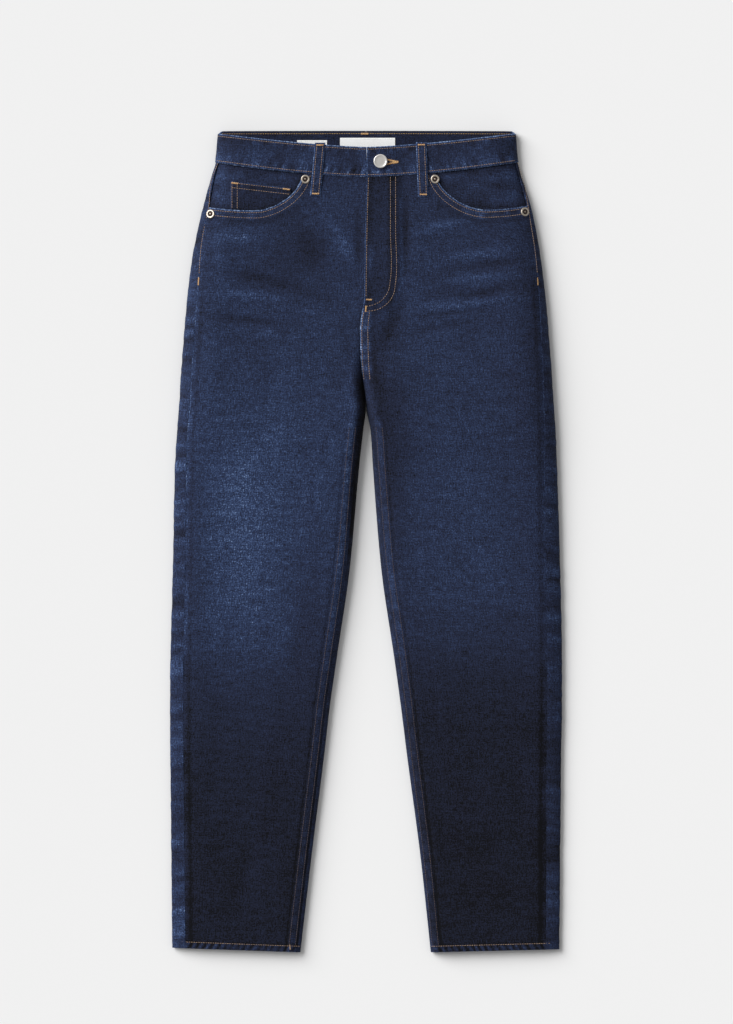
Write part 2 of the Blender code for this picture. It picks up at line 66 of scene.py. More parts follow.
# The tube of cloth. Each leg and half of the seat is one flat-laid tube of 1.1 mm denim: the
# front is its crowned top, and the back lies on the floor and rolls up both rims to meet it.
MM = 0.001
LENGTH = 1001.5  # hem to the top edge of the back waistband
DENIM = 1.1  # wall of one layer of denim
CROTCH = 667.0
RIM_RUN = 45.0  # how far in from the outer rim the front reaches its crown
RIM_LOW = 5.0  # half height and roll of a rim, under its widest line
REST_LIFT = 1.5  # the seat rests on its patch pockets and loops, this far up
INSEAM_TURN = 36.0  # degrees up the inner rim where the inseam lies on a leg
FLAT_END = 4.0  # the columns of points that make the roll lie this much wider where it is flat
ROLL_START = 14.0  # the back panel rolls up the inner rim this far below the crotch
FLY_RISE = 1.4  # the left front lies over the right one
FLY_WIDTH = 38.0
FLY_FOOT = 785.0
SIGN = {"right": -1.0, "left": 1.0}

Level = namedtuple(
    "Level",
    "y right_outer left_outer right_inner left_inner"
    " right_seam left_seam crown inner_z inner_run",
)
LEVELS = [
    Level(0, 236.0, 235.5, 80.0, 79.0, 16.0, 16.0, 11.5, 5.0, 20),
    Level(120, 237.5, 236.8, 66.0, 66.0, 16.0, 17.0, 13.0, 5.0, 22),
    Level(240, 238.6, 238.0, 51.0, 50.0, 16.0, 18.0, 14.5, 5.0, 24),
    Level(300, 239.0, 239.0, 44.0, 42.5, 16.0, 18.0, 15.5, 5.2, 25),
    Level(360, 238.4, 238.9, 35.4, 34.2, 16.0, 18.0, 16.5, 5.5, 25),
    Level(470, 235.5, 236.7, 19.5, 18.3, 15.0, 17.0, 19.0, 6.0, 25),
    Level(590, 233.0, 233.0, 8.5, 8.5, 14.0, 15.0, 22.0, 6.0, 24),
    Level(635, 230.5, 231.3, 3.6, 5.6, 13.0, 13.0, 24.0, 5.0, 20),
    Level(667, 227.8, 229.0, 0.15, 0.15, 13.0, 12.0, 25.0, 2.9, 14),
    Level(700, 226.0, 227.0, 0.15, 0.15, 13.0, 10.5, 25.0, 9.0, 14),
    Level(740, 223.0, 224.0, 0.15, 0.15, 12.5, 9.5, 24.5, 21.5, 22),
    Level(793, 218.4, 219.6, 0.15, 0.15, 12.0, 7.5, 23.5, 23.3, 30),
    Level(852, 211.0, 212.3, 0.15, 0.15, 8.5, 5.5, 22.5, 22.5, 30),
    Level(903, 200.0, 202.5, 0.15, 0.15, 7.0, 4.0, 21.5, 21.5, 30),
    Level(947, 187.9, 189.3, 0.15, 0.15, 3.0, 2.5, 20.5, 20.5, 30),
    Level(966, 182.5, 184.5, 0.15, 0.15, 2.5, 2.5, 20.0, 20.0, 30),
    Level(1002, 179.5, 181.5, 0.15, 0.15, 2.5, 2.5, 19.0, 19.0, 30),
]


def smooth_columns():
    """The levels' heights and values, and slopes for curves through them without overshoot."""
    table = np.array(LEVELS, float)
    y, values = table[:, 0], table[:, 1:]
    run = np.diff(y)[:, None]
    rise = np.diff(values, axis=0) / run
    slope = np.zeros_like(values)
    before, after = rise[:-1], rise[1:]
    turning = before * after <= 0
    safe = np.where(turning, 1.0, before + after)
    slope[1:-1] = np.where(turning, 0.0, 2 * before * after / safe)
    slope[0], slope[-1] = rise[0], rise[-1]
    return y, values, slope


LEVEL_Y, LEVEL_VALUES, LEVEL_SLOPES = smooth_columns()
COLUMN = {name: i for i, name in enumerate(Level._fields[1:])}


def at(name, y):
    """One column of the levels at any heights."""
    y = np.clip(np.asarray(y, float), LEVEL_Y[0], LEVEL_Y[-1])
    row = np.clip(np.searchsorted(LEVEL_Y, y, "right") - 1, 0, len(LEVEL_Y) - 2)
    span = LEVEL_Y[row + 1] - LEVEL_Y[row]
    t = (y - LEVEL_Y[row]) / span
    column = COLUMN[name]
    low, high = LEVEL_VALUES[row, column], LEVEL_VALUES[row + 1, column]
    leave, arrive = LEVEL_SLOPES[row, column] * span, LEVEL_SLOPES[row + 1, column] * span
    return (
        (2 * t**3 - 3 * t**2 + 1) * low
        + (t**3 - 2 * t**2 + t) * leave
        + (3 * t**2 - 2 * t**3) * high
        + (t**3 - t**2) * arrive
    )


def step(value, start, end):
    """0 before start and 1 after end, with a soft passage between."""
    t = np.clip((np.asarray(value, float) - start) / (end - start), 0, 1)
    return t * t * (3 - 2 * t)


def fly_rise(side, x, y):
    """The left front lies over the right one along the fly."""
    if side == "right":
        return np.zeros_like(np.asarray(x, float) + y)
    across = 1 - step(x, FLY_WIDTH - 10, FLY_WIDTH + 8)
    return FLY_RISE * across * step(y, FLY_FOOT - 12, FLY_FOOT + 12)


def top_z(side, x, y):
    """Height of the smooth front at a distance x from the centre line."""
    outer, inner = at(side + "_outer", y), at(side + "_inner", y)
    crown, inner_z, inner_run = at("crown", y), at("inner_z", y), at("inner_run", y)
    from_outer = np.clip((outer - x) / RIM_RUN, 0, 1)
    from_inner = np.clip((x - inner) / inner_run, 0, 1)
    outer_part = RIM_LOW + (crown - RIM_LOW) * np.sqrt(1 - (1 - from_outer) ** 2)
    inner_part = inner_z + (crown - inner_z) * np.sqrt(1 - (1 - from_inner) ** 2)
    return outer_part * inner_part / crown + fly_rise(side, x, y)


def front_normal(side, x, y):
    near = 0.5
    along_x = (top_z(side, x + near, y) - top_z(side, x - near, y)) / (2 * near)
    along_y = (top_z(side, x, y + near) - top_z(side, x, y - near)) / (2 * near)
    normal = np.stack([-along_x * SIGN[side], -along_y, np.ones_like(along_x)], -1)
    return normal / np.linalg.norm(normal, axis=-1, keepdims=True)


def on_front(side, x, y, out=0.0):
    """Points on the smooth front, moved out along its normal."""
    x, y = np.broadcast_arrays(np.asarray(x, float), np.asarray(y, float))
    base = np.stack([SIGN[side] * x, y, top_z(side, x, y)], -1)
    return base + front_normal(side, x, y) * np.asarray(out, float)[..., None]


LEAN_REACH = 24.0  # how far from the centre line the lean has mostly gone
Lean = namedtuple("Lean", "y x")
CENTRE_LEAN = [
    Lean(667, 0.0), Lean(673, -2.0), Lean(692, -4.0), Lean(716, -6.0), Lean(734, -6.7),
    Lean(759, -7.3), Lean(773, -6.0), Lean(795, -2.4), Lean(813, -2.2), Lean(881, -1.2),
    Lean(945, 0.7),
]


def leaning(points):
    """Moves the front sideways near its centre, because the fly and the rise seam lean."""
    lean = np.interp(points[..., 1], [r.y for r in CENTRE_LEAN], [r.x for r in CENTRE_LEAN])
    moved = points.copy()
    on_top = step(points[..., 2], 8, 14)
    moved[..., 0] += lean * on_top * np.exp(-((points[..., 0] / LEAN_REACH) ** 2))
    return moved


def seam_turn(side, y):
    """Angle on the outer rim's upper quarter where the side seam lies."""
    return np.arccos(1 - at(side + "_seam", y) / RIM_RUN)


def seam_station(side, y):
    return 3 - seam_turn(side, y) / (math.pi / 2)


def inseam_turn(y):
    """Angle on the inner rim's upper quarter where the inseam lies, 0 at the crotch."""
    return math.radians(INSEAM_TURN) * (1 - step(y, CROTCH - 90, CROTCH - 8))


def around(side, station, y):
    """Points on the smooth outer face, along the ring of cloth at height y.

    Station 0 is the centre front or the inseam, 1 the inner end of the crown, 2 its outer
    end, 3 the outer rim, 4 the outer end of the rest face and 5 its inner end. From 5 to 7
    the cloth rolls up the inner rim to the inseam, or lies flat to the centre back.
    """
    station, y = np.broadcast_arrays(np.asarray(station, float), np.asarray(y, float))
    outer, inner = at(side + "_outer", y), at(side + "_inner", y)
    inner_z, inner_run = at("inner_z", y), at("inner_run", y)
    low = REST_LIFT * step(y, 690, 728)
    quarter = math.pi / 2
    part = [np.clip(station - k, 0, 1) for k in range(7)]

    turn = inseam_turn(y) + (quarter - inseam_turn(y)) * part[0]
    x_front = inner + inner_run * (1 - np.cos(turn))
    x_front = x_front + (outer - RIM_RUN - inner - inner_run) * part[1]
    turn = quarter * (1 - part[2])
    x_front = np.where(station > 2, outer - RIM_RUN * (1 - np.cos(turn)), x_front)
    z_front = top_z(side, x_front, y)

    turn = quarter * part[3]
    x_rim = outer - RIM_LOW * (1 - np.cos(turn))
    z_rim = low + (RIM_LOW - low) * (1 - np.sin(turn))

    rolled = step(CROTCH - y, 0, ROLL_START)
    last = RIM_LOW + FLAT_END * (1 - rolled)
    x_rest = outer - RIM_LOW + (inner + last - outer + RIM_LOW) * part[4]
    share = (part[5] + part[6]) / 2
    turn = -quarter + (quarter + inseam_turn(y)) * share
    x_roll = inner + np.where(turn < 0, last, inner_run) * (1 - np.cos(turn))
    z_roll = inner_z + np.where(turn < 0, inner_z - low, at("crown", y) - inner_z) * np.sin(turn)
    x_end = inner + last * (1 - share) * (1 - rolled) + (x_roll - inner) * rolled
    z_end = low + (z_roll - low) * rolled

    x = np.select([station <= 3, station <= 4, station <= 5], [x_front, x_rim, x_rest], x_end)
    z = np.select([station <= 3, station <= 4, station <= 5], [z_front, z_rim, low], z_end)
    return np.stack([SIGN[side] * x, y, z], -1)


def normals(side, station, y):
    """Outward normals of the ring of cloth."""
    near_station, near_y = 0.01, 0.5
    along = around(side, station + near_station, y) - around(side, station - near_station, y)
    up = around(side, station, y + near_y) - around(side, station, y - near_y)
    up[..., 1] = np.maximum(up[..., 1], near_y)
    normal = np.cross(along, up)
    return SIGN[side] * normal / np.linalg.norm(normal, axis=-1, keepdims=True)


# Front panels. Each is one cut of washed denim from hem to waistband, with the pocket mouth
# scooped out of its outer corner. The washing left whiskers across the hips, a pale thigh and
# knee, and puckers along every seam. Painted shade darkens the hollows of the creases, the fold
# below the crotch, the grooves beside the inseam and hem, and the cloth under the waistband
# and the pocket hem.
Crease = namedtuple("Crease", "x y reach lean width depth fade")
CREASES = {  # middle, half length, degrees that it rises outward, half width, ridge, and wash: pale on the ridges, with painted shade in the hollows
    "right": [
        Crease(153, 870, 45, -3, 9, 0.5, 0.16),
        Crease(129, 821, 68, 12, 7, -0.6, -0.14),
        Crease(146, 801, 52, 7, 6, 0.6, 0.14),
        Crease(143, 769, 58, 6, 5, -0.6, -0.16),
        Crease(124, 753, 14, -8, 4, 0.3, 0.12),
        Crease(100, 786, 55, 9, 4, 0.3, 0.06),
        Crease(66, 855, 32, 82, 15, -0.5, -0.16),
        Crease(29, 870, 34, 62, 9, 0.6, 0.20),
        Crease(8, 868, 44, 88, 5, -0.5, -0.14),
        Crease(60, 800, 40, 14, 6, -0.3, -0.08),
        Crease(178, 838, 30, 85, 7, 0.3, 0.10),
        Crease(150, 744, 40, 2, 6, -0.25, -0.05),
        Crease(18, 735, 44, 78, 7, -0.5, -0.06),
    ],
    "left": [
        Crease(94, 885, 40, 12, 6, 0.5, 0.18),
        Crease(132, 850, 42, 8, 5, 0.5, 0.17),
        Crease(150, 839, 52, 8, 5, -0.5, -0.14),
        Crease(137, 822, 56, 6, 4.5, 0.5, 0.15),
        Crease(147, 805, 50, 8, 5, -0.55, -0.15),
        Crease(125, 790, 68, 6, 4.5, 0.5, 0.16),
        Crease(107, 780, 50, 6, 3, -0.4, -0.10),
        Crease(95, 764, 47, 8, 4, -0.4, -0.12),
        # these three creases hold painted shade in the dark valley beside the fly and down to the
        # crotch
        Crease(48, 876, 56, 90, 5, -0.9, -0.24),
        Crease(31, 762, 44, 70, 9, -1.0, -0.20),
        Crease(15, 690, 46, 95, 10, -0.6, -0.16),
        Crease(7, 844, 22, 90, 3, 0.5, 0.30),
        Crease(70, 735, 50, 40, 12, 0.4, 0.04),
    ],
}
Patch = namedtuple("Patch", "x y half_x half_y fade")
WASH_UP = {  # how far the dye is washed out, by height, before the patches
    "right": ([0, 137, 210, 283, 332, 381, 429, 527, 640, 700, 790, 860, 950],
              [0.08, 0.09, 0.11, 0.17, 0.23, 0.33, 0.38, 0.41, 0.42, 0.38, 0.35, 0.33, 0.33]),
    "left": ([0, 210, 283, 332, 381, 429, 527, 625, 740, 860, 950],
             [0.05, 0.07, 0.10, 0.15, 0.25, 0.31, 0.33, 0.32, 0.34, 0.33, 0.27]),
}
WASH_AND_SHADE = {  # large soft patches of the stone wash; one dark patch also holds painted shade
    "right": [
        Patch(150, 450, 45, 140, 0.12),
        Patch(141, 570, 45, 70, 0.06),
        Patch(204, 500, 9, 150, -0.08),
        Patch(62, 420, 26, 70, -0.08),
        Patch(95, 850, 34, 50, -0.08),
    ],
    "left": [
        Patch(110, 575, 45, 100, 0.06),
        Patch(120, 440, 60, 70, 0.04),
        # this dark patch is partly the wash and partly painted shade where the inner thigh turns
        # away from the light beside the fold
        Patch(28, 610, 20, 120, -0.15),
        Patch(205, 760, 26, 130, -0.08),
        Patch(50, 820, 12, 60, 0.04),
    ],
}
MOUTH = {
    "right": {"inner": 77.0, "low": 904.0, "round": 57.0, "rise": 45.0, "side": 3.0},
    "left": {"inner": 85.0, "low": 904.8, "round": 60.0, "rise": 45.0, "side": 5.0},
}
MOUTH_POWER = 1.7  # between a straight slant, 1, and an ellipse, 2
BAND_LOW_SIDE, BAND_LOW_FRONT = 962.5, 945.0
BAND_LOW_BACK = 966.0
BAND_HALF = 182.0
HEM_DEPTH = 7.4
HEM_SLANT = {"right": 5.5, "left": 3.7}
INSEAM_HALF = 3.7  # from the middle of the felled inseam to each of its rows
INSEAM_MIDDLE = {  # and from the inner rim to that middle, by height
    "right": ([0, 400, 640], [11.0, 12.0, 13.5]),
    "left": ([0, 420, 640], [6.5, 11.5, 11.0]),
}
MOUTH_ROWS = (2.8, 9.2)  # and below the edge of the pocket mouth


def front_band_low(x):
    return BAND_LOW_FRONT + (BAND_LOW_SIDE - BAND_LOW_FRONT) * (x / BAND_HALF) ** 1.6


def mouth_y(side, x):
    mouth = MOUTH[side]
    across = np.clip((x - mouth["inner"]) / mouth["round"], 0, 1)
    climb = 1 - (1 - (1 - across) ** MOUTH_POWER) ** (1 / MOUTH_POWER)
    beyond = np.clip(x - mouth["inner"] - mouth["round"], 0, None) / 50
    return mouth["low"] + mouth["rise"] * climb + mouth["side"] * beyond**2


def below_mouth(side, x, y):
    """Distance of a point below the edge of the pocket mouth, square to that edge."""
    near = 1.0
    slope = (mouth_y(side, x + near) - mouth_y(side, x - near)) / (2 * near)
    straight = (mouth_y(side, x) - y) / np.sqrt(1 + slope**2)
    to_end = np.hypot(np.maximum(MOUTH[side]["inner"] - x, 0), np.maximum(949 - y, 0) * 0.2)
    return np.where(x > MOUTH[side]["inner"], straight, np.maximum(straight, to_end))


def uneven(along, pitch, seed):
    """A smooth wave between -1 and 1 whose swells are all of other lengths and heights."""
    values = np.random.default_rng(seed).uniform(-1, 1, 4096)
    place = np.asarray(along, float) / pitch + 1024
    low = np.floor(place).astype(int)
    share = place - low
    share = share * share * (3 - 2 * share)
    return values[low % 4096] * (1 - share) + values[(low + 1) % 4096] * share


def soft_spot(x, y, spot, lean=0.0):
    """1 in the middle of an oval and 0 outside it."""
    turn = math.radians(lean)
    along = (x - spot[0]) * math.cos(turn) + (y - spot[1]) * math.sin(turn)
    across = (y - spot[1]) * math.cos(turn) - (x - spot[0]) * math.sin(turn)
    return np.exp(-((along / spot[2]) ** 2) - (across / spot[3]) ** 2)


def creases_at(side, x, y):
    """Height, and wash with painted shade in their hollows, of the listed creases."""
    height = np.zeros(np.broadcast(x, y).shape)
    wash_and_shade = np.zeros_like(height)
    for k, c in enumerate(CREASES[side]):
        bend = 0.25 * c.width * uneven(x + 0.6 * y, 30, 90 + k)
        here = soft_spot(x, y + bend, (c.x, c.y, c.reach * 0.75, c.width), c.lean)
        height += c.depth * here
        wash_and_shade += c.fade * here
    return height, wash_and_shade


def front_relief(side, x, y):
    """Height above the smooth front, and wash with painted shade, of everything that shows on a
    front panel.
    """
    height, wash_and_shade = creases_at(side, x, y)
    for spot in WASH_AND_SHADE[side]:
        wash_and_shade = wash_and_shade + spot.fade * soft_spot(x, y, spot[:4])
    inner, outer = at(side + "_inner", y), at(side + "_outer", y)
    on_leg = 1 - step(y, CROTCH - 30, CROTCH + 20)
    from_inner = x - inner
    seed = 11 if side == "right" else 12
    # the felled inseam: a raised strip under two rows, puckered along both
    off_middle = from_inner - np.interp(y, *INSEAM_MIDDLE[side])
    strip = on_leg * np.exp(-((off_middle / 4.6) ** 4))
    pucker = 0.6 * uneven(y, 7.5, seed) + 0.4 * uneven(y, 3.4, seed + 20)
    height = height + strip * (0.5 + 0.18 * pucker)
    wash_and_shade = wash_and_shade + strip * (0.08 + 0.10 * pucker)
    # painted shade in the shallow grooves beside the strip
    beside = on_leg * np.exp(-(((np.abs(off_middle) - 7.0) / 1.8) ** 2))
    wash_and_shade = wash_and_shade - 0.10 * beside
    height = height - 0.30 * beside
    if side == "right":  # painted shade: this leg's inner edge lies deep in the fold below the crotch
        deep = step(y, 490, 570) * (1 - step(y, 690, 715))
        wash_and_shade = wash_and_shade - 0.45 * deep * np.exp(-((from_inner / 8.5) ** 2))
    # the front rise below the fly: a seam that sinks between the legs
    rise = step(y, 690, 715) * (1 - step(y, FLY_FOOT - 8, FLY_FOOT + 4))
    ridge = rise * (1 - step(x, 10.5, 12.5)) * (side == "left")
    shade = rise * (np.exp(-(((x - 14.5) / 2.2) ** 2)) if side == "left" else np.exp(-x / 3.0))
    height = height + 0.5 * ridge * (0.8 + 0.4 * uneven(y, 5.5, seed + 1))
    wash_and_shade = wash_and_shade + ridge * (0.10 + 0.12 * uneven(y, 5.0, seed + 2)) - 0.12 * shade
    # the side seam: the cloth dips into it and puckers
    seam = outer - at(side + "_seam", y)
    near_seam = np.exp(-(((seam - x) / 6.0) ** 2))
    swell = 0.6 * uneven(y, 17, seed + 3) + 0.4 * uneven(y, 6.5, seed + 4)
    height = height + near_seam * (0.25 * swell - 0.3)
    wash_and_shade = wash_and_shade + 0.12 * near_seam * swell
    wash_and_shade = wash_and_shade - 0.12 * np.exp(-(((seam - 7.0 - x) / 2.6) ** 2)) * (1 - step(y, 780, 860))
    # the pocket mouth: a turned hem under two rows
    below = below_mouth(side, x, y)
    at_mouth = step(x, MOUTH[side]["inner"] - 4, MOUTH[side]["inner"] + 1)
    hem = at_mouth * (1 - step(below, MOUTH_ROWS[1] + 1.5, MOUTH_ROWS[1] + 4))
    along = x + 0.9 * (mouth_y(side, x) - 904)
    ripple = uneven(along, 4.6, seed + 5)
    height = height + hem * (0.35 + 0.12 * ripple)
    wash_and_shade = wash_and_shade + hem * (0.03 + 0.12 * ripple)
    # painted shade along the foot of the turned hem
    wash_and_shade = wash_and_shade - 0.08 * at_mouth * np.exp(-((below - 14.5) / 3.0) ** 2)
    # under the waistband: short puckers that hang from its stitches, and painted shade just below
    # the band
    under = front_band_low(x) - y
    hang = np.exp(-under / 7.0) * (x < MOUTH[side]["inner"] + 2)
    height = height + 0.22 * hang * uneven(x, 4.8, seed + 6)
    wash_and_shade = wash_and_shade - hang * (0.10 - 0.05 * uneven(x, 4.8, seed + 6))
    # the hem: folded double, roped by the twist of the cloth
    from_hem = y - HEM_SLANT[side] * np.clip((x - inner) / (outer - inner), 0, 1)
    fold = 1 - step(from_hem, HEM_DEPTH - 0.6, HEM_DEPTH + 1.2)
    rope = np.sin(2 * math.pi * (x + 0.55 * from_hem + 1.6 * uneven(x, 16, seed + 7)) / 8.4)
    height = height + fold * (0.45 + 0.3 * rope)
    wash_and_shade = wash_and_shade + fold * (0.10 + 0.24 * rope * (0.75 + 0.25 * uneven(x, 20, seed + 8)))
    # painted shade in the groove along the top of the hem fold
    groove = np.exp(-(((from_hem - HEM_DEPTH - 0.6) / 1.4) ** 2))
    height = height - 0.25 * groove
    wash_and_shade = wash_and_shade - 0.08 * groove
    if side == "left":  # the fly facing shows as a raised edge inside the double stitches
        turn_x = np.where(y > 814, 43.0, 43.0 - np.clip(814 - y, 0, 40) * 0.45)
        inside = (1 - step(x, turn_x - 1.5, turn_x + 1.0)) * step(y, 778, 790)
        height = height + 0.45 * inside
        wash_and_shade = wash_and_shade - 0.15 * inside + 0.08 * inside * uneven(x, 6, seed + 9)
        edge = np.exp(-(((x - turn_x) / 1.6) ** 2)) * step(y, 790, 812) * (1 - step(y, 915, 935))
        wash_and_shade = wash_and_shade + 0.16 * edge
    # the wash as a whole, and the cloth's own slow waves
    wash_and_shade = wash_and_shade + np.interp(y, *WASH_UP[side])
    wash_and_shade = wash_and_shade + 0.04 * uneven(x + 0.2 * y, 22, seed + 10) * uneven(y, 34, seed + 11)
    height = height + 0.3 * uneven(x - 0.3 * y, 36, seed + 12) * uneven(y, 50, seed + 13)
    return height, wash_and_shade


def worn_edge(side, x, y):
    """Distance in millimetres to the nearest rubbed edge of a front panel."""
    below = below_mouth(side, x, y)
    at_mouth = np.where(x > MOUTH[side]["inner"], below, 30)
    fly = np.where((y > CROTCH + 25) & (side == "left"), x, 30)
    side_seam = np.where(y > 560, at(side + "_outer", y) - at(side + "_seam", y) - x + 1.0, 30)
    return np.minimum(np.minimum(np.minimum(at_mouth, fly), side_seam), 30)


def faces_between(low, high, flipped):
    """Four-sided faces between two rows of vertex numbers, for all rows at once."""
    quads = np.stack([low[:, :-1], low[:, 1:], high[:, 1:], high[:, :-1]], -1).reshape(-1, 4)
    return quads[:, ::-1] if flipped else quads


def cloth_shell(name, outside, inside, material, side, fade=0.0, edge=30.0, every=4):
    """A closed layer of cloth: a fine outer face, an inner one with every fourth point, and a
    rim between. Its UV map holds metres along the threads, and it carries its wash and painted
    shade."""
    rows, columns = outside.shape[:2]
    keep_r = sorted({*range(0, rows, every), rows - 1})
    keep_c = sorted({*range(0, columns, every), columns - 1})
    coarse = inside[np.ix_(keep_r, keep_c)]
    flipped = side == "right"
    fine_id = np.arange(rows * columns).reshape(rows, columns)
    coarse_id = rows * columns + np.arange(coarse.shape[0] * coarse.shape[1])
    coarse_id = coarse_id.reshape(coarse.shape[:2])
    faces = faces_between(fine_id[:-1], fine_id[1:], flipped).tolist()
    faces += faces_between(coarse_id[:-1], coarse_id[1:], not flipped).tolist()

    def rim(fine, inner, kept, turned):
        for k in range(len(kept) - 1):
            edge_line = fine[kept[k]: kept[k + 1] + 1].tolist()
            face = edge_line + [int(inner[k + 1]), int(inner[k])]
            faces.append(face if turned else face[::-1])

    rim(fine_id[0], coarse_id[0], keep_c, flipped)
    rim(fine_id[-1], coarse_id[-1], keep_c, not flipped)
    rim(fine_id[:, 0], coarse_id[:, 0], keep_r, not flipped)
    rim(fine_id[:, -1], coarse_id[:, -1], keep_r, flipped)

    across = np.linalg.norm(np.diff(outside, axis=1), axis=-1)
    u = np.concatenate([np.zeros((rows, 1)), np.cumsum(across, axis=1)], axis=1)
    u = u - u[:, columns // 2][:, None] + outside[:1, columns // 2, 0]
    v = outside[..., 1]
    uv = np.stack([u, v], -1) * MM
    uv = np.concatenate([uv.reshape(-1, 2), uv[np.ix_(keep_r, keep_c)].reshape(-1, 2)])
    points = leaning(np.concatenate([outside.reshape(-1, 3), coarse.reshape(-1, 3)]))
    points = (points - [0, LENGTH / 2, 0]) * MM

    mesh = bpy.data.meshes.new(name)
    mesh.from_pydata(points.tolist(), [], faces)
    corner = np.empty(len(mesh.loops), int)
    mesh.loops.foreach_get("vertex_index", corner)
    mesh.uv_layers.new(name="cloth").uv.foreach_set("vector", uv[corner].ravel())
    for label, values in (("fade", fade), ("edge", edge)):
        fine = np.broadcast_to(np.asarray(values, float), (rows, columns))
        both = np.concatenate([fine.ravel(), fine[np.ix_(keep_r, keep_c)].ravel()])
        mesh.attributes.new(label, "FLOAT", "POINT").data.foreach_set("value", both)
    mesh.shade_smooth()
    mesh.set_sharp_from_angle(angle=math.radians(50))
    mesh.materials.append(material)
    made = bpy.data.objects.new(name, mesh)
    bpy.context.scene.collection.objects.link(made)
    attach(made, "root")
    return made


def linear(*srgb):
    """A colour as a screen shows it, in 0 to 255, turned into Blender's own values."""
    scaled = [value / 255 for value in srgb]
    made = [v / 12.92 if v <= 0.04045 else ((v + 0.055) / 1.055) ** 2.4 for v in scaled]
    return (*made, 1.0)


def add(tree, kind, inputs=(), **settings):
    """A node with its settings. inputs pairs a socket's name or number with a value or a link."""
    made = tree.nodes.new(kind)
    for key, value in settings.items():
        setattr(made, key, value)
    for socket, value in dict(inputs).items():
        if isinstance(value, bpy.types.NodeSocket):
            tree.links.new(value, made.inputs[socket])
        else:
            made.inputs[socket].default_value = value
    return made


def sums(tree, operation, a, b, c=0.0, clamp=False):
    made = add(tree, "ShaderNodeMath", {0: a, 1: b, 2: c}, operation=operation)
    made.use_clamp = clamp
    return made.outputs[0]


def cloth_noise(tree, place, across, up, detail, seed):
    """Noise whose grains are 1 over across wide and 1 over up tall, in metres."""
    stretched = add(
        tree, "ShaderNodeVectorMath", {0: place, 1: (across, up, 1.0)}, operation="MULTIPLY"
    )
    made = add(
        tree,
        "ShaderNodeTexNoise",
        {"Vector": stretched.outputs[0], "W": seed, "Scale": 1.0, "Detail": detail},
        noise_dimensions="4D",
    )
    return made.outputs["Fac"]


TWILL_PITCH = 0.00095  # metres between two lines of the twill
TWILL_LEAN = 63.0  # degrees, rising to the right


def denim_group():
    """Indigo twill: dark warp, pale weft between its lines, slubs along both, and the wash with
    its painted shade.
    """
    tree = bpy.data.node_groups.new("indigo_twill", "ShaderNodeTree")
    for label, kind in (("Threads", "NodeSocketVector"), ("Fade", "NodeSocketFloat"),
                        ("Edge", "NodeSocketFloat")):
        tree.interface.new_socket(label, in_out="INPUT", socket_type=kind)
    for label, kind in (("Colour", "NodeSocketColor"), ("Height", "NodeSocketFloat")):
        tree.interface.new_socket(label, in_out="OUTPUT", socket_type=kind)
    given = tree.nodes.new("NodeGroupInput")
    threads = given.outputs["Threads"]

    place = add(tree, "ShaderNodeSeparateXYZ", {0: threads})
    turn = math.radians(TWILL_LEAN)
    wave = 2 * math.pi / TWILL_PITCH
    across = sums(tree, "MULTIPLY", place.outputs["X"], wave * math.sin(turn))
    along = sums(tree, "MULTIPLY", place.outputs["Y"], -wave * math.cos(turn))

    warp_slub = cloth_noise(tree, threads, 650.0, 130.0, 2.0, 1.0)
    warp_band = cloth_noise(tree, threads, 170.0, 12.0, 2.0, 2.0)
    weft_slub = cloth_noise(tree, threads, 110.0, 600.0, 2.0, 3.0)
    speckle = cloth_noise(tree, threads, 620.0, 620.0, 2.0, 4.0)
    cloud = cloth_noise(tree, threads, 60.0, 45.0, 3.0, 5.0)
    streak = cloth_noise(tree, threads, 26.0, 150.0, 2.0, 6.0)
    phase = sums(tree, "MULTIPLY_ADD", speckle, 9.0, sums(tree, "ADD", across, along))
    twill = sums(tree, "SINE", phase, 0.0)

    wash_and_shade = given.outputs["Fade"]
    grain = sums(tree, "MULTIPLY", twill, 0.04)
    for value, weight in ((warp_slub, 0.90), (warp_band, 0.16), (weft_slub, 0.75),
                          (speckle, 1.7), (cloud, 0.20), (streak, 0.36)):
        grain = sums(tree, "MULTIPLY_ADD", sums(tree, "SUBTRACT", value, 0.5), weight, grain)
    # the dark cloth, and cloth darkened by painted shade, has less grain than the washed one
    grain_strength = sums(tree, "MULTIPLY_ADD", wash_and_shade, 1.05, 0.36, clamp=True)
    wash_and_shade = sums(tree, "MULTIPLY_ADD", grain, grain_strength, wash_and_shade)
    # rubbed edges: a pale line, broken where the speckle is low
    rub = add(
        tree,
        "ShaderNodeMapRange",
        {0: sums(tree, "MULTIPLY_ADD", cloud, 1.6, given.outputs["Edge"]), 1: 2.9, 2: 1.3},
    )
    rub = sums(tree, "MULTIPLY", rub.outputs[0], sums(tree, "ADD", speckle, 0.1))
    wash_and_shade = sums(tree, "MULTIPLY_ADD", rub, 0.75, wash_and_shade, clamp=True)

    dye = add(tree, "ShaderNodeValToRGB", {0: wash_and_shade})
    ramp = dye.color_ramp
    # the near-black first stop is there for the painted shade in the fold below the crotch
    stops = [(0.0, (9, 10, 16)), (0.05, (21, 23, 35)), (0.15, (27, 32, 50)), (0.3, (34, 41, 64)),
             (0.45, (41, 53, 82)), (0.6, (52, 67, 101)), (0.8, (78, 99, 139)),
             (1.0, (140, 162, 196))]
    while len(ramp.elements) < len(stops):
        ramp.elements.new(0.5)
    for element, (where, colour) in zip(ramp.elements, stops):
        element.position, element.color = where, linear(*colour)

    height = sums(tree, "MULTIPLY_ADD", twill, 0.35, speckle)
    height = sums(tree, "MULTIPLY_ADD", warp_slub, 0.6, height)
    given_back = tree.nodes.new("NodeGroupOutput")
    tree.links.new(dye.outputs["Color"], given_back.inputs["Colour"])
    tree.links.new(height, given_back.inputs["Height"])
    return tree


INDIGO_TWILL = denim_group()


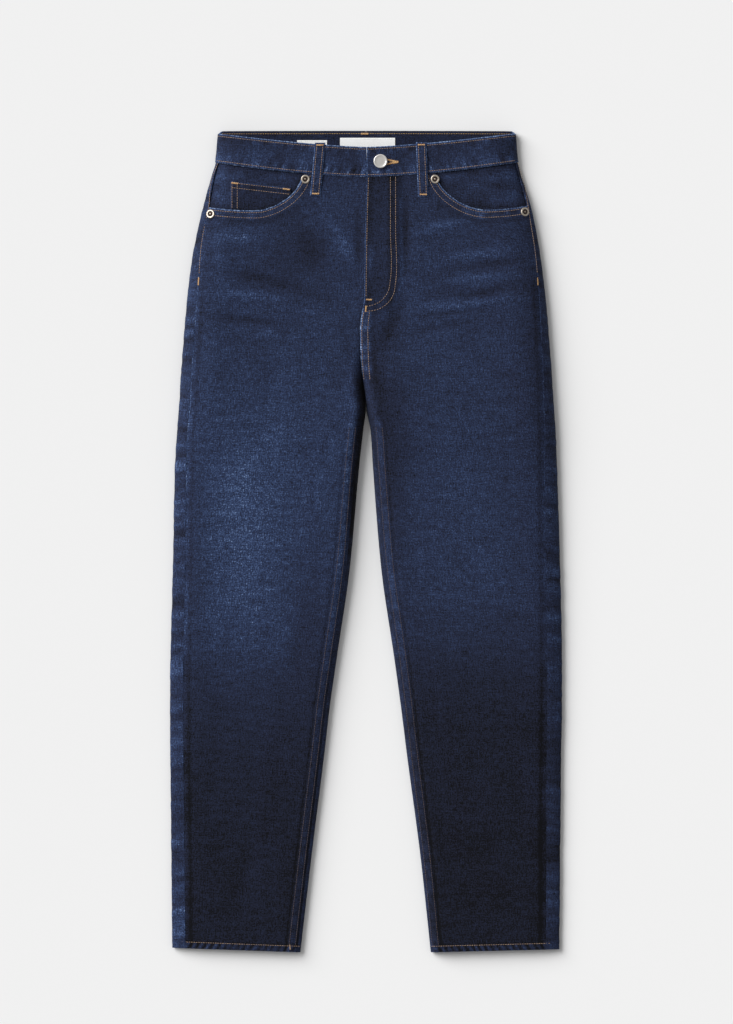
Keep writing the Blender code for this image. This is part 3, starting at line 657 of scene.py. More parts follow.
def denim(name, base_fade, roughness=0.88):
    """A denim cloth whose wash starts at base_fade and goes on with the piece's own."""
    made = bpy.data.materials.new(name)
    made.use_nodes = True
    tree = made.node_tree
    shader = tree.nodes["Principled BSDF"]
    threads = add(tree, "ShaderNodeUVMap", uv_map="cloth").outputs["UV"]
    fade = add(tree, "ShaderNodeAttribute", attribute_name="fade").outputs["Fac"]
    edge = add(tree, "ShaderNodeAttribute", attribute_name="edge").outputs["Fac"]
    fade = sums(tree, "ADD", fade, base_fade)
    cloth = tree.nodes.new("ShaderNodeGroup")
    cloth.node_tree = INDIGO_TWILL
    for socket, value in (("Threads", threads), ("Fade", fade), ("Edge", edge)):
        tree.links.new(value, cloth.inputs[socket])
    tree.links.new(cloth.outputs["Colour"], shader.inputs["Base Color"])
    bump = add(
        tree,
        "ShaderNodeBump",
        {"Strength": 0.5, "Distance": 0.0004, "Height": cloth.outputs["Height"]},
    )
    tree.links.new(bump.outputs["Normal"], shader.inputs["Normal"])
    shader.inputs["Roughness"].default_value = roughness
    shader.inputs["Specular IOR Level"].default_value = 0.12
    shader.inputs["Sheen Weight"].default_value = 0.03
    shader.inputs["Sheen Roughness"].default_value = 0.5
    return made


DENIM_FRONT = denim("denim_front", 0.0)


def rows_up(upper, stops, pitch, last, close):
    """Heights up a panel: rows no further apart than pitch, and close ones below its top."""
    made = [float(stops[0])]
    for low, high in zip(stops, stops[1:]):
        count = max(1, math.ceil((high - low) / pitch))
        made += [low + (high - low) * (k + 1) / count for k in range(count)]
    fixed = np.array(made)
    span = upper - fixed[-1]
    near_top = np.minimum(span, last)
    many = max(2, math.ceil(float(np.max(span - near_top)) / pitch))
    few = max(2, math.ceil(last / close))
    low_part = fixed[-1] + (span - near_top) * np.linspace(0, 1, many + 1)[1:, None]
    high_part = upper - near_top * (1 - np.linspace(0, 1, few + 1)[1:, None])
    return np.concatenate([np.tile(fixed[:, None], (1, len(upper))), low_part, high_part])


FRONT_STOPS = [0, 2, 6.5, 9, 60, 200, 400, 600, CROTCH, 740, 852]
STATIONS_FRONT = np.concatenate([
    np.linspace(0, 1, 21)[:-1],
    np.linspace(1, 1.36, 16)[:-1],
    np.linspace(1.36, 1.56, 18)[:-1],
    np.linspace(1.56, 2, 17)[:-1],
    np.linspace(2, 3, 22),
])
LENGTHS = ["shin", "knee", "thigh", "hip"]  # the solids of one panel, from the hem up


def panel_points(side, stations_at, upper_edge, stops, pitch, last, close):
    """Stations and heights of a panel's points, worked out in turn until they agree."""
    upper = np.full(stations_at(np.array([[900.0]])).shape[1], BAND_LOW_FRONT)
    for _ in range(8):
        heights = rows_up(upper, stops, pitch, last, close)
        stations = stations_at(heights)
        x = np.abs(around(side, stations, heights)[..., 0])
        upper = upper_edge(x[-1])
    outer, inner = at(side + "_outer", 0), at(side + "_inner", 0)
    across = np.clip((x - inner) / (outer - inner), 0, 1)
    return stations, heights + HEM_SLANT[side] * across * (1 - step(heights, 0, 60))


def stations_on_front(side, heights):
    y = heights[:, -1:]
    seam = seam_station(side, y)
    return np.where(STATIONS_FRONT > 2, 2 + (seam - 2) * (STATIONS_FRONT - 2), STATIONS_FRONT)


for side in ("right", "left"):
    stations, heights = panel_points(
        side,
        lambda y: stations_on_front(side, y),
        lambda x: np.where(x < MOUTH[side]["inner"], front_band_low(x), mouth_y(side, x)) - 0.1,
        FRONT_STOPS, 1.7, 14, 1.1,
    )
    smooth = around(side, stations, heights)
    x = np.abs(smooth[..., 0])
    height, wash_and_shade = front_relief(side, x, heights)
    normal = normals(side, stations, heights)
    from_rim = np.minimum(np.arange(len(STATIONS_FRONT)), 3) / 3
    outside = smooth + height[..., None] * normal * np.minimum(from_rim + 0.4, 1)[:, None]
    thick = (DENIM + (1 - step(heights, 8, 9)) * DENIM)[..., None]
    panel = cloth_shell(
        f"jeans_front_{side}", outside, smooth - thick * normal, DENIM_FRONT, side,
        wash_and_shade, worn_edge(side, x, heights),
    )
    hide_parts(*[f"front_{side}_{length}" for length in LENGTHS])

# Back panels and yokes. The back is cut wider than the front, so it rolls round both rims and
# shows as a strip beside each seam. It is dark, and its rims are rubbed pale where the seam
# allowance lies behind them. The yoke is a wedge of the same denim above it.
BACK_STOPS = [0, 2, 6.5, 9, 60, 200, 400, 600, CROTCH, 740, 852]
YOKE_SIDE, YOKE_CENTRE = 928.0, 891.0
BACK_STRIP = 12  # columns from the side seam to the outer rim
STATIONS_BACK = np.concatenate([
    np.linspace(0, 1, BACK_STRIP + 1)[:-1] + 2,
    np.linspace(3, 4, 9)[:-1],
    np.linspace(4, 5, 13)[:-1],
    np.linspace(5, 7, 17),
])
DENIM_BACK = denim("denim_back", 0.26)


def yoke_low(x):
    return YOKE_CENTRE + (YOKE_SIDE - YOKE_CENTRE) * np.clip(x / 180, 0, 1)


def stations_on_back(side, heights):
    y = heights[:, :1]
    seam = seam_station(side, y)
    strip = seam + (3 - seam) * (STATIONS_BACK - 2)
    return np.where(STATIONS_BACK < 3, strip, STATIONS_BACK)


def back_relief(side, stations, y):
    """Height and wash beside the seams, where the back shows from above, with painted shade on
    the right leg's inner roll.
    """
    seed = 41 if side == "right" else 43
    outer_strip = 1 - step(stations, 3.0, 3.7)
    swell = 0.35 * uneven(y, 17, seed) + 0.6 * uneven(y, 5.6, seed + 1)
    swell = swell + 0.6 * uneven(y + 14 * (stations - 3), 7.5, seed + 2)
    inner_strip = step(stations, 6.0, 6.7) * (y < CROTCH)
    small = 0.6 * uneven(y, 8, seed + 3) + 0.4 * uneven(y, 3.6, seed + 4)
    height = outer_strip * 0.32 * swell + inner_strip * 0.12 * small
    pale = 0.08 if side == "right" else 0.06 * step(y, 200, 420) - 0.02
    wash_and_shade = outer_strip * (pale + 0.17 * swell) + inner_strip * 0.10 * small
    # painted shade: this leg's inner roll lies deep in the fold below the crotch
    if side == "right":
        wash_and_shade = wash_and_shade - 0.30 * inner_strip * step(y, 440, 540)
    hem = 1 - step(y, HEM_DEPTH - 0.6, HEM_DEPTH + 1.2)
    hem = hem * (1 - step(stations, 3.6, 4.0))
    return height + 0.3 * hem, wash_and_shade + hem * 0.12


for side in ("right", "left"):
    stations, heights = panel_points(
        side, lambda y: stations_on_back(side, y), lambda x: yoke_low(x) - 0.1,
        BACK_STOPS, 1.9, 12, 3.0,
    )
    smooth = around(side, stations, heights)
    height, wash_and_shade = back_relief(side, stations, heights)
    normal = normals(side, stations, heights)
    thick = (DENIM + (1 - step(heights, 8, 9)) * DENIM)[..., None]
    panel = cloth_shell(
        f"jeans_back_{side}", smooth + height[..., None] * normal, smooth - thick * normal,
        DENIM_BACK, side, wash_and_shade,
    )
    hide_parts(*[f"back_{side}_{length}" for length in LENGTHS])

    share = np.linspace(0, 1, 19)[:, None]
    heights = np.full((len(share), len(STATIONS_BACK)), YOKE_SIDE)
    for _ in range(8):
        stations = stations_on_back(side, heights)
        x = np.abs(around(side, stations, heights)[..., 0])
        low = yoke_low(x[:1]) + 0.1
        behind = step(stations[-1:], 3, 4)
        high = front_band_low(x[-1:]) * (1 - behind) + BAND_LOW_BACK * behind - 0.2
        heights = low + share * (high - low)
    smooth = around(side, stations, heights)
    normal = normals(side, stations, heights)
    height, wash_and_shade = back_relief(side, stations, heights)
    yoke = cloth_shell(
        f"jeans_yoke_{side}", smooth + height[..., None] * normal, smooth - DENIM * normal,
        DENIM_BACK, side, wash_and_shade,
    )
    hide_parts(f"yoke_{side}")

# Waistband. A straight strip folded double and sewn over the top of the panels, so it stands
# proud of them in front. It is rubbed pale along its upper fold and puckered along its lower
# row. Its back half lies with its inner face up, behind the opening, darkened with painted shade.
BAND_WALL, BAND_PROUD = 2.6, 1.2
BAND_TOP_FRONT, BAND_TOP_SIDE = 981.5, 998.0
BACK_DROP = 0.4  # the back's upper edge is almost straight across
BAND_ROWS = (2.6, 2.9)  # the lower and upper rows of stitches, from the band's edges
BAND_STATIONS = np.concatenate([
    np.linspace(0, 1, 19)[:-1], np.linspace(1, 2, 67)[:-1], np.linspace(2, 3, 30)[:-1],
    np.linspace(3, 4, 9)[:-1], np.linspace(4, 7, 61),
])
DENIM_BAND = denim("denim_band", 0.32)


def front_band_top(x):
    return BAND_TOP_FRONT + (BAND_TOP_SIDE - BAND_TOP_FRONT) * (x / BAND_HALF) ** 1.4


def back_band_top(x):
    return LENGTH - BACK_DROP * (x / BAND_HALF) ** 2


def rounded(distance, radius):
    """How far a folded edge falls away, at this distance from the fold."""
    t = np.clip(1 - distance / radius, 0, 1)
    return radius * (1 - np.sqrt(1 - t * t))


def band_relief(side, x, y):
    seed = 61 if side == "right" else 63
    up, down = y - front_band_low(x), front_band_top(x) - y
    lean = x + 0.35 * up
    low_pucker = np.exp(-(((up - 6.0) / 5.0) ** 2)) * uneven(lean, 3.4, seed)
    top_pucker = np.exp(-(((down - 5.5) / 4.0) ** 2)) * uneven(x - 0.3 * down, 4.2, seed + 1)
    body = uneven(x, 15, seed + 2) * np.exp(-(((up - 16) / 10.0) ** 2))
    height = 0.28 * low_pucker + 0.2 * top_pucker + 0.25 * body
    height = height - 0.35 * np.exp(-(((up - BAND_ROWS[0]) / 1.2) ** 2))
    height = height - 0.3 * np.exp(-(((down - BAND_ROWS[1]) / 1.2) ** 2))
    height = height - rounded(up, 1.1) - rounded(down, 1.2)
    strong = 0.6 + 0.9 * np.exp(-(((x - 28) / 22) ** 2)) * (side == "right")
    wash_and_shade = 0.34 * strong * low_pucker + 0.16 * top_pucker + 0.09 * body
    wash_and_shade = wash_and_shade + 0.15 * np.exp(-(up / 6.0)) - 0.04 * np.exp(-(((down - 9) / 6.0) ** 2))
    return height, wash_and_shade


for side in ("right", "left"):
    share = np.linspace(0, 1, 30)
    share = (share - 0.045 * np.sin(2 * math.pi * share))[:, None]
    stations = np.tile(BAND_STATIONS, (len(share), 1))
    x = np.abs(around(side, stations, BAND_TOP_FRONT)[..., 0])
    behind = step(stations, 3, 4)
    low = front_band_low(x) * (1 - behind) + BAND_LOW_BACK * behind + 0.15
    top = front_band_top(x) + behind * (back_band_top(x) - front_band_top(x))
    heights = low + share * (top - low)
    smooth = around(side, stations, heights)
    normal = normals(side, stations, heights)
    x = np.abs(smooth[..., 0])
    height, wash_and_shade = band_relief(side, x, heights)
    ahead = 1 - step(stations, 3, 4)
    proud = (BAND_PROUD * ahead)[..., None]
    outside = smooth + (proud + (height * ahead)[..., None]) * normal
    ends = np.where(side == "left", x, 30.0)
    edge = np.minimum(np.minimum(top - heights, (heights - low) + 1.1), ends + 0.3)
    edge = np.where(ahead > 0, edge, 30)
    # the back half's inner face gets painted shade, 0.12 darker
    band = cloth_shell(
        f"jeans_waistband_{side}", outside, smooth + (proud - BAND_WALL) * normal,
        DENIM_BAND, side, wash_and_shade * ahead - 0.12 * (1 - ahead), edge, every=2,
    )
    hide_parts(f"waistband_{side}")

# Pocket facings and coin pocket. The facing is a layer of darker, unwashed denim that shows
# in each pocket mouth. The coin pocket lies on the right one, under its own double rows.
FACING_INNER = {"right": 56.0, "left": 64.0}
FACING_BELOW = 20.0
COIN_INNER, COIN_OUTER = 91.7, 165.0
COIN_TOP_INNER, COIN_TOP_OUTER = 931.0, 939.5
DENIM_POCKET = denim("denim_pocket", 0.28)


def coin_top(x):
    across = (x - COIN_INNER) / (COIN_OUTER - COIN_INNER)
    return COIN_TOP_INNER + (COIN_TOP_OUTER - COIN_TOP_INNER) * across


for side in ("right", "left"):
    share = np.linspace(0, 1, 31)[:, None]
    columns = np.linspace(0, 1, 60)
    heights = np.full((len(share), len(columns)), YOKE_SIDE)
    for _ in range(8):
        seam_x = at(side + "_outer", heights) - at(side + "_seam", heights) - 0.3
        x = FACING_INNER[side] + (seam_x - FACING_INNER[side]) * columns
        low = mouth_y(side, x[0]) - FACING_BELOW
        heights = low + share * (front_band_low(x[-1]) - 0.6 - low)
    depth = -(DENIM + 0.3)
    sag = 0.5 * uneven(x, 24, 71) * uneven(heights, 22, 72) - 0.3
    shade = 0.10 * uneven(x, 13, 73) * uneven(heights, 11, 74)
    shade = shade - 0.16 * np.exp(-((heights - mouth_y(side, x)) / 9.0) ** 2)
    shade = shade - 0.12 * np.exp(-((front_band_low(x) - heights) / 5.0) ** 2)
    shade = shade + (0.10 if side == "right" else 0.06) * np.exp(-(((x - 178) / 9.0) ** 2))
    facing = cloth_shell(
        f"pocket_facing_{side}_cloth", on_front(side, x, heights, depth + np.minimum(sag, 0)),
        on_front(side, x, heights, depth - DENIM), DENIM_POCKET, side, shade,
    )
    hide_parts(f"pocket_facing_{side}")

share = np.linspace(0, 1, 22)[:, None]
x = np.tile(np.linspace(COIN_INNER, COIN_OUTER, 50), (len(share), 1))
low = mouth_y("right", x) + 0.6
y = low + share * (coin_top(x) - low)
down, in_from_side = coin_top(x) - y, np.minimum(COIN_OUTER - x, x - COIN_INNER + 30)
height = -rounded(down, 0.6) - rounded(in_from_side, 0.6) + 0.12 * uneven(x, 5, 75) * (down < 9)
shade = 0.06 * uneven(x, 5, 75) * (down < 10) - 0.08 * np.exp(-((y - low) / 5.0) ** 2) - 0.10
coin = cloth_shell(
    "coin_pocket_cloth", on_front("right", x, y, height), on_front("right", x, y, -DENIM),
    DENIM_POCKET, "right", shade, np.minimum(down, in_from_side) + 0.7, every=2,
)
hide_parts("coin_pocket")

# Belt loops. Strips of denim folded to 13 mm, sewn down at both ends with bar tacks. The two
# in front arch over the waistband's lower edge. The three at the back lie flat under it.
LOOP_WIDTH = 12.8
LOOP_WALL = 1.2
FRONT_LOOPS = {
    "right": {"foot_x": 61.6, "foot_y": 921.5, "head_x": 55.9, "head_y": 986.5},
    "left": {"foot_x": 69.9, "foot_y": 920.5, "head_x": 67.3, "head_y": 987.0},
}
LOOP_SHARES = [0, 0.12, 0.3, 0.42, 0.6, 0.8, 0.92, 1]
LOOP_CLEAR = [0.0, 0.0, 0.9, 1.6, 2.2, 2.0, BAND_PROUD, BAND_PROUD]
BACK_LOOP_X = {"right": -102.0, "centre": 0.0, "left": 102.0}
BACK_LOOP_FOOT, BACK_LOOP_HEAD = 938.0, 999.5
UNDER_GAP = 0.35  # room under the pieces on the seat for their stitches


def on_loop(side, across, share, out=0.0):
    """Points on a front belt loop: across from -1 to 1, and share from its foot to its head."""
    loop = FRONT_LOOPS[side]
    across, share = np.broadcast_arrays(np.asarray(across, float), np.asarray(share, float))
    x = loop["foot_x"] + share * (loop["head_x"] - loop["foot_x"]) + across * LOOP_WIDTH / 2
    y = loop["foot_y"] + share * (loop["head_y"] - loop["foot_y"])
    clear = np.interp(share, LOOP_SHARES, LOOP_CLEAR) + 0.3
    return on_front(side, x, y, clear + out)


def flat_slab(name, x, y, low, high, material, side, fade, edge):
    """Cloth that lies flat with its outer face down, on a grid of x and y."""
    lower = np.stack([x, y, low + 0 * x], -1)
    upper = np.stack([x, y, high + 0 * x], -1)
    return cloth_shell(name, lower, upper, material, side, fade, edge, every=2)


for side in FRONT_LOOPS:
    across = np.linspace(-1, 1, 15)
    share = np.linspace(0, 1, 50)[:, None]
    from_edge = (1 - np.abs(across)) * LOOP_WIDTH / 2
    ends = np.minimum(share, 1 - share) * 66
    bulge = 0.18 * uneven(66 * share, 5, 81) * (1 - np.abs(across)) - rounded(from_edge, 0.8)
    bulge = bulge - rounded(ends, 0.8)
    rub = np.minimum(from_edge + 0.5, ends + 0.9)
    loop = cloth_shell(
        f"belt_loop_{side}_cloth", on_loop(side, across, share, LOOP_WALL + bulge),
        on_loop(side, across, share), DENIM_BAND, side,
        0.06 * uneven(66 * share, 6, 82) + 0 * across, rub, every=2,
    )
    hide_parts(f"belt_loop_front_{side}")

for place, middle in BACK_LOOP_X.items():
    y, x = np.meshgrid(
        np.linspace(BACK_LOOP_FOOT, BACK_LOOP_HEAD, 30),
        np.linspace(middle + LOOP_WIDTH / 2, middle - LOOP_WIDTH / 2, 9), indexing="ij",
    )
    from_edge = LOOP_WIDTH / 2 - np.abs(x - middle)
    low = UNDER_GAP + rounded(from_edge, 0.6)
    loop = flat_slab(
        f"belt_loop_back_{place}_cloth", x, y, low, LOOP_WALL, DENIM_BAND, "left",
        0.0, from_edge + 0.6,
    )
    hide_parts(f"belt_loop_back_{place}")

# Seat pockets. Plain five-sided patches on the seat, which lies on them. Their upper edge is
# hemmed, and their point is at the middle of the foot.
SEAT_POCKET = {"top": ((38, 878), (178, 884)), "side": ((46, 756), (172, 762))}
SEAT_POINT = (110, 742)
for side in ("right", "left"):
    share = np.linspace(0, 1, 37)[:, None]
    across = np.linspace(0, 1, 41)
    (top_in, top_out), (foot_in, foot_out) = SEAT_POCKET["top"], SEAT_POCKET["side"]
    x = top_in[0] + (top_out[0] - top_in[0]) * across
    foot_x = foot_in[0] + (foot_out[0] - foot_in[0]) * across
    foot_y = np.interp(foot_x, [46, 110, 172], [756, 742, 762])
    top_y = top_in[1] + (top_out[1] - top_in[1]) * across
    x = foot_x + share * (x - foot_x)
    y = foot_y + share * (top_y - foot_y)
    from_edge = np.minimum(
        np.minimum((across + 0 * share), (1 - across + 0 * share)) * 134,
        np.minimum(share, 1 - share) * 128,
    )
    pocket = flat_slab(
        f"seat_pocket_{side}_cloth", SIGN[side] * x, y, UNDER_GAP + rounded(from_edge, 0.6),
        LOOP_WALL, DENIM_BACK, "right" if side == "left" else "left", 0.02, from_edge + 0.8,
    )
    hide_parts(f"seat_pocket_{side}")

# Labels. Two bare strips of white woven tape, sewn flat to the inside of the back waistband.
BAND_INSIDE = REST_LIFT + BAND_WALL + 0.3
Label = namedtuple("Label", "left right low top thick")
LABELS = {
    "label_main": Label(-31.7, 35.4, 967.5, 993.0, 0.5),
    "label_small": Label(-84.0, -47.6, 968.5, 990.0, 0.4),
}


def tape(name, colour, roughness, ribs):
    """Woven tape with fine ribs across it."""
    made = bpy.data.materials.new(name)
    made.use_nodes = True
    tree = made.node_tree
    shader = tree.nodes["Principled BSDF"]
    threads = add(tree, "ShaderNodeUVMap", uv_map="cloth").outputs["UV"]
    place = add(tree, "ShaderNodeSeparateXYZ", {0: threads})
    rib = sums(tree, "SINE", sums(tree, "MULTIPLY", place.outputs["Y"], 2 * math.pi * ribs), 0.0)
    fluff = cloth_noise(tree, threads, 1500.0, 400.0, 2.0, 8.0)
    shade = add(
        tree, "ShaderNodeMix",
        {0: sums(tree, "MULTIPLY_ADD", rib, 0.12, fluff),
         6: [v * 0.9 for v in colour[:3]] + [1.0], 7: colour},
        data_type="RGBA",
    )
    tree.links.new(shade.outputs[2], shader.inputs["Base Color"])
    bump = add(
        tree, "ShaderNodeBump",
        {"Strength": 0.4, "Distance": 0.0002,
         "Height": sums(tree, "MULTIPLY_ADD", rib, 0.5, fluff)},
    )
    tree.links.new(bump.outputs["Normal"], shader.inputs["Normal"])
    shader.inputs["Roughness"].default_value = roughness
    return made


LABEL_TAPE = tape("label_cloth", linear(250, 250, 249), 0.75, 1800.0)
for name, label in LABELS.items():
    y, x = np.meshgrid(
        np.linspace(label.low, label.top, 22), np.linspace(label.left, label.right, 40),
        indexing="ij",
    )
    lift = label.thick + 0.25 * (1 + uneven(x, 16, 91))
    lift = lift - rounded(np.minimum(label.top - y, y - label.low), 0.4)
    upper = np.stack([x, y, BAND_INSIDE + lift], -1)
    lower = np.stack([x, y, BAND_INSIDE + 0 * x], -1)
    strip = cloth_shell(f"{name}_tape", upper, lower, LABEL_TAPE, "left", every=2)
    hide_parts(name)

# Stitches. Thick lockstitch thread, about 2.9 mm to a stitch: tan on the outside, rust beside
# the inseams, ochre inside the band, and orange in the bar tacks and the buttonhole.
STITCH_PITCH = 2.9
STITCH_SHARE = 0.84  # of the pitch that shows above the cloth
THREAD = 0.68  # width of the thread


def thread_material(name, light, dark, roughness=0.6):
    made = bpy.data.materials.new(name)
    made.use_nodes = True
    tree = made.node_tree
    shader = tree.nodes["Principled BSDF"]
    place = tree.nodes.new("ShaderNodeTexCoord").outputs["Object"]
    tone = add(tree, "ShaderNodeTexNoise", {"Vector": place, "Scale": 260.0, "Detail": 2.0})
    fine = add(tree, "ShaderNodeTexNoise", {"Vector": place, "Scale": 3200.0, "Detail": 1.0})
    mixed = sums(tree, "MULTIPLY_ADD", tone.outputs["Fac"], 2.2, -0.6, clamp=True)
    shade = add(
        tree, "ShaderNodeMix", {0: mixed, 6: linear(*dark), 7: linear(*light)},
        data_type="RGBA",
    )
    tree.links.new(shade.outputs[2], shader.inputs["Base Color"])
    bump = add(
        tree, "ShaderNodeBump",
        {"Strength": 0.5, "Distance": 0.0002, "Height": fine.outputs["Fac"]},
    )
    tree.links.new(bump.outputs["Normal"], shader.inputs["Normal"])
    shader.inputs["Roughness"].default_value = roughness
    return made


THREADS = {
    "tan": thread_material("thread_tan", (184, 154, 124), (122, 102, 92)),
    "rust": thread_material("thread_rust", (92, 76, 72), (56, 50, 58)),
    "ochre": thread_material("thread_ochre", (196, 158, 92), (148, 116, 72)),
    "orange": thread_material("thread_orange", (232, 192, 134), (196, 146, 98)),
    "white": thread_material("thread_white", (232, 232, 230), (206, 206, 204)),
}


def stitch_tree():
    """Lays one stitch on each point, along its own direction and off the cloth."""
    tree = bpy.data.node_groups.new("laid_stitches", "GeometryNodeTree")
    socket = tree.interface.new_socket
    socket("Geometry", in_out="INPUT", socket_type="NodeSocketGeometry")
    socket("Thread width", in_out="INPUT", socket_type="NodeSocketFloat")
    socket("Seed", in_out="INPUT", socket_type="NodeSocketInt")
    socket("Thread", in_out="INPUT", socket_type="NodeSocketMaterial")
    socket("Geometry", in_out="OUTPUT", socket_type="NodeSocketGeometry")
    given = tree.nodes.new("NodeGroupInput").outputs
    stitch = add(tree, "GeometryNodeMeshUVSphere", {"Segments": 6, "Rings": 5, "Radius": 0.5})
    # a sphere's poles lie on Z, so it is turned to lie along X
    lying = add(
        tree, "GeometryNodeTransform",
        {"Geometry": stitch.outputs["Mesh"], "Rotation": (0, math.pi / 2, 0)},
    )

    def own(name, kind):
        return add(tree, "GeometryNodeInputNamedAttribute", {"Name": name}, data_type=kind)

    along = add(
        tree, "FunctionNodeAlignRotationToVector",
        {"Vector": own("along", "FLOAT_VECTOR").outputs["Attribute"]}, axis="X",
    )
    upright = add(
        tree, "FunctionNodeAlignRotationToVector",
        {"Rotation": along.outputs[0], "Vector": own("out", "FLOAT_VECTOR").outputs["Attribute"]},
        axis="Z", pivot_axis="X",
    )
    varied = add(
        tree, "FunctionNodeRandomValue", {2: 0.88, 3: 1.1, "Seed": given["Seed"]},
        data_type="FLOAT",
    )
    width = add(
        tree, "ShaderNodeMath", {0: given["Thread width"], 1: varied.outputs[1]},
        operation="MULTIPLY",
    )
    size = add(
        tree, "ShaderNodeCombineXYZ",
        {"X": own("span", "FLOAT").outputs["Attribute"], "Y": width.outputs[0],
         "Z": width.outputs[0]},
    )
    laid = add(
        tree, "GeometryNodeInstanceOnPoints",
        {"Points": given["Geometry"], "Instance": lying.outputs[0],
         "Rotation": upright.outputs[0], "Scale": size.outputs[0]},
    )
    real = add(tree, "GeometryNodeRealizeInstances", {0: laid.outputs[0]})
    soft = add(tree, "GeometryNodeSetShadeSmooth", {0: real.outputs[0]})
    dyed = add(
        tree, "GeometryNodeSetMaterial", {"Geometry": soft.outputs[0],
                                          "Material": given["Thread"]},
    )
    tree.links.new(dyed.outputs[0], tree.nodes.new("NodeGroupOutput").inputs[0])
    return tree


STITCH_TREE = stitch_tree()


def settle(piece, settings):
    """Runs the piece's Geometry Nodes once and keeps the mesh that they make."""
    modifier = piece.modifiers.new("stitches", "NODES")
    modifier.node_group = STITCH_TREE
    for item in STITCH_TREE.interface.items_tree:
        if item.item_type == "SOCKET" and item.in_out == "INPUT" and item.name in settings:
            modifier[item.identifier] = settings[item.name]
    bpy.context.view_layer.update()
    graph = bpy.context.evaluated_depsgraph_get()
    made = bpy.data.meshes.new_from_object(piece.evaluated_get(graph))
    piece.modifiers.clear()
    piece.data = made


def sew(name, rows, thread, width=THREAD, seed=1):
    """Makes the stitches of several rows one piece. A row is centres, directions, normals and
    stitch lengths, all in millimetres."""
    centre, along, out, span = (np.concatenate(part) for part in zip(*rows))
    mesh = bpy.data.meshes.new(name)
    mesh.from_pydata(((leaning(centre) - [0, LENGTH / 2, 0]) * MM).tolist(), [], [])
    for label, values in (("along", along), ("out", out)):
        attribute = mesh.attributes.new(label, "FLOAT_VECTOR", "POINT")
        attribute.data.foreach_set("vector", values.ravel())
    mesh.attributes.new("span", "FLOAT", "POINT").data.foreach_set("value", span * MM)
    piece = bpy.data.objects.new(name, mesh)
    bpy.context.scene.collection.objects.link(piece)
    settle(piece, {"Thread width": width * MM, "Seed": seed, "Thread": THREADS[thread]})
    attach(piece, "root")
    return piece


def row_along(points, out, pitch=STITCH_PITCH, share=STITCH_SHARE, lean=0.0):
    """Stitches at even steps along a line of points."""
    steps = np.linalg.norm(np.diff(points, axis=0), axis=1)
    run = np.concatenate([[0], np.cumsum(steps)])
    count = max(1, int(run[-1] / pitch))
    where = (np.arange(count) + 0.5) * run[-1] / count

    def read(values, places):
        return np.stack([np.interp(places, run, values[:, k]) for k in range(3)], -1)

    centre = read(points, where)
    along = read(points, where + 0.4) - read(points, where - 0.4)
    along /= np.linalg.norm(along, axis=1, keepdims=True)
    normal = read(out, where)
    normal /= np.linalg.norm(normal, axis=1, keepdims=True)
    if lean:
        beside = np.cross(normal, along)
        turn = math.radians(lean)
        along = along * math.cos(turn) + beside * math.sin(turn)
    return centre, along, normal, np.full(count, run[-1] / count * share)


def curve_through(stops, count=200):
    """A smooth line through (x, y) points, by their distance along it."""
    stops = np.array(stops, float)
    steps = np.linalg.norm(np.diff(stops, axis=0), axis=1)
    run = np.concatenate([[0], np.cumsum(steps)])
    slope = np.gradient(stops, run, axis=0)
    where = np.linspace(0, run[-1], count)
    k = np.clip(np.searchsorted(run, where, "right") - 1, 0, len(run) - 2)
    span = (run[k + 1] - run[k])[:, None]
    t = ((where - run[k])[:, None]) / span
    return (
        (2 * t**3 - 3 * t**2 + 1) * stops[k] + (t**3 - 2 * t**2 + t) * slope[k] * span
        + (3 * t**2 - 2 * t**3) * stops[k + 1] + (t**3 - t**2) * slope[k + 1] * span
    )


def front_row(side, x, y, above=0.0, **how):
    """A row on a front panel, resting on its creases."""
    x, y = np.broadcast_arrays(np.asarray(x, float), np.asarray(y, float))
    height, _ = front_relief(side, x, y)
    points = on_front(side, x, y, height + above + 0.12)
    return row_along(points, front_normal(side, x, y), **how)


def front_curve(side, stops, above=0.0, **how):
    line = curve_through(stops)
    return front_row(side, line[:, 0], line[:, 1], above, **how)


def band_row(side, x, y, **how):
    height, _ = band_relief(side, x, y)
    points = on_front(side, x, y, BAND_PROUD + height + 0.12)
    return row_along(points, front_normal(side, x, y), **how)


def tack(points, out, width):
    """A bar tack: close stitches laid across a short line."""
    row = row_along(points, out, pitch=0.62, share=1.0, lean=84.0)
    return row[0], row[1], row[2], np.full(len(row[0]), width)


def front_tack(side, start, end, width, above=0.0):
    x, y = np.linspace(start[0], end[0], 12), np.linspace(start[1], end[1], 12)
    height, _ = front_relief(side, x, y)
    return tack(on_front(side, x, y, height + above + 0.3), front_normal(side, x, y), width)


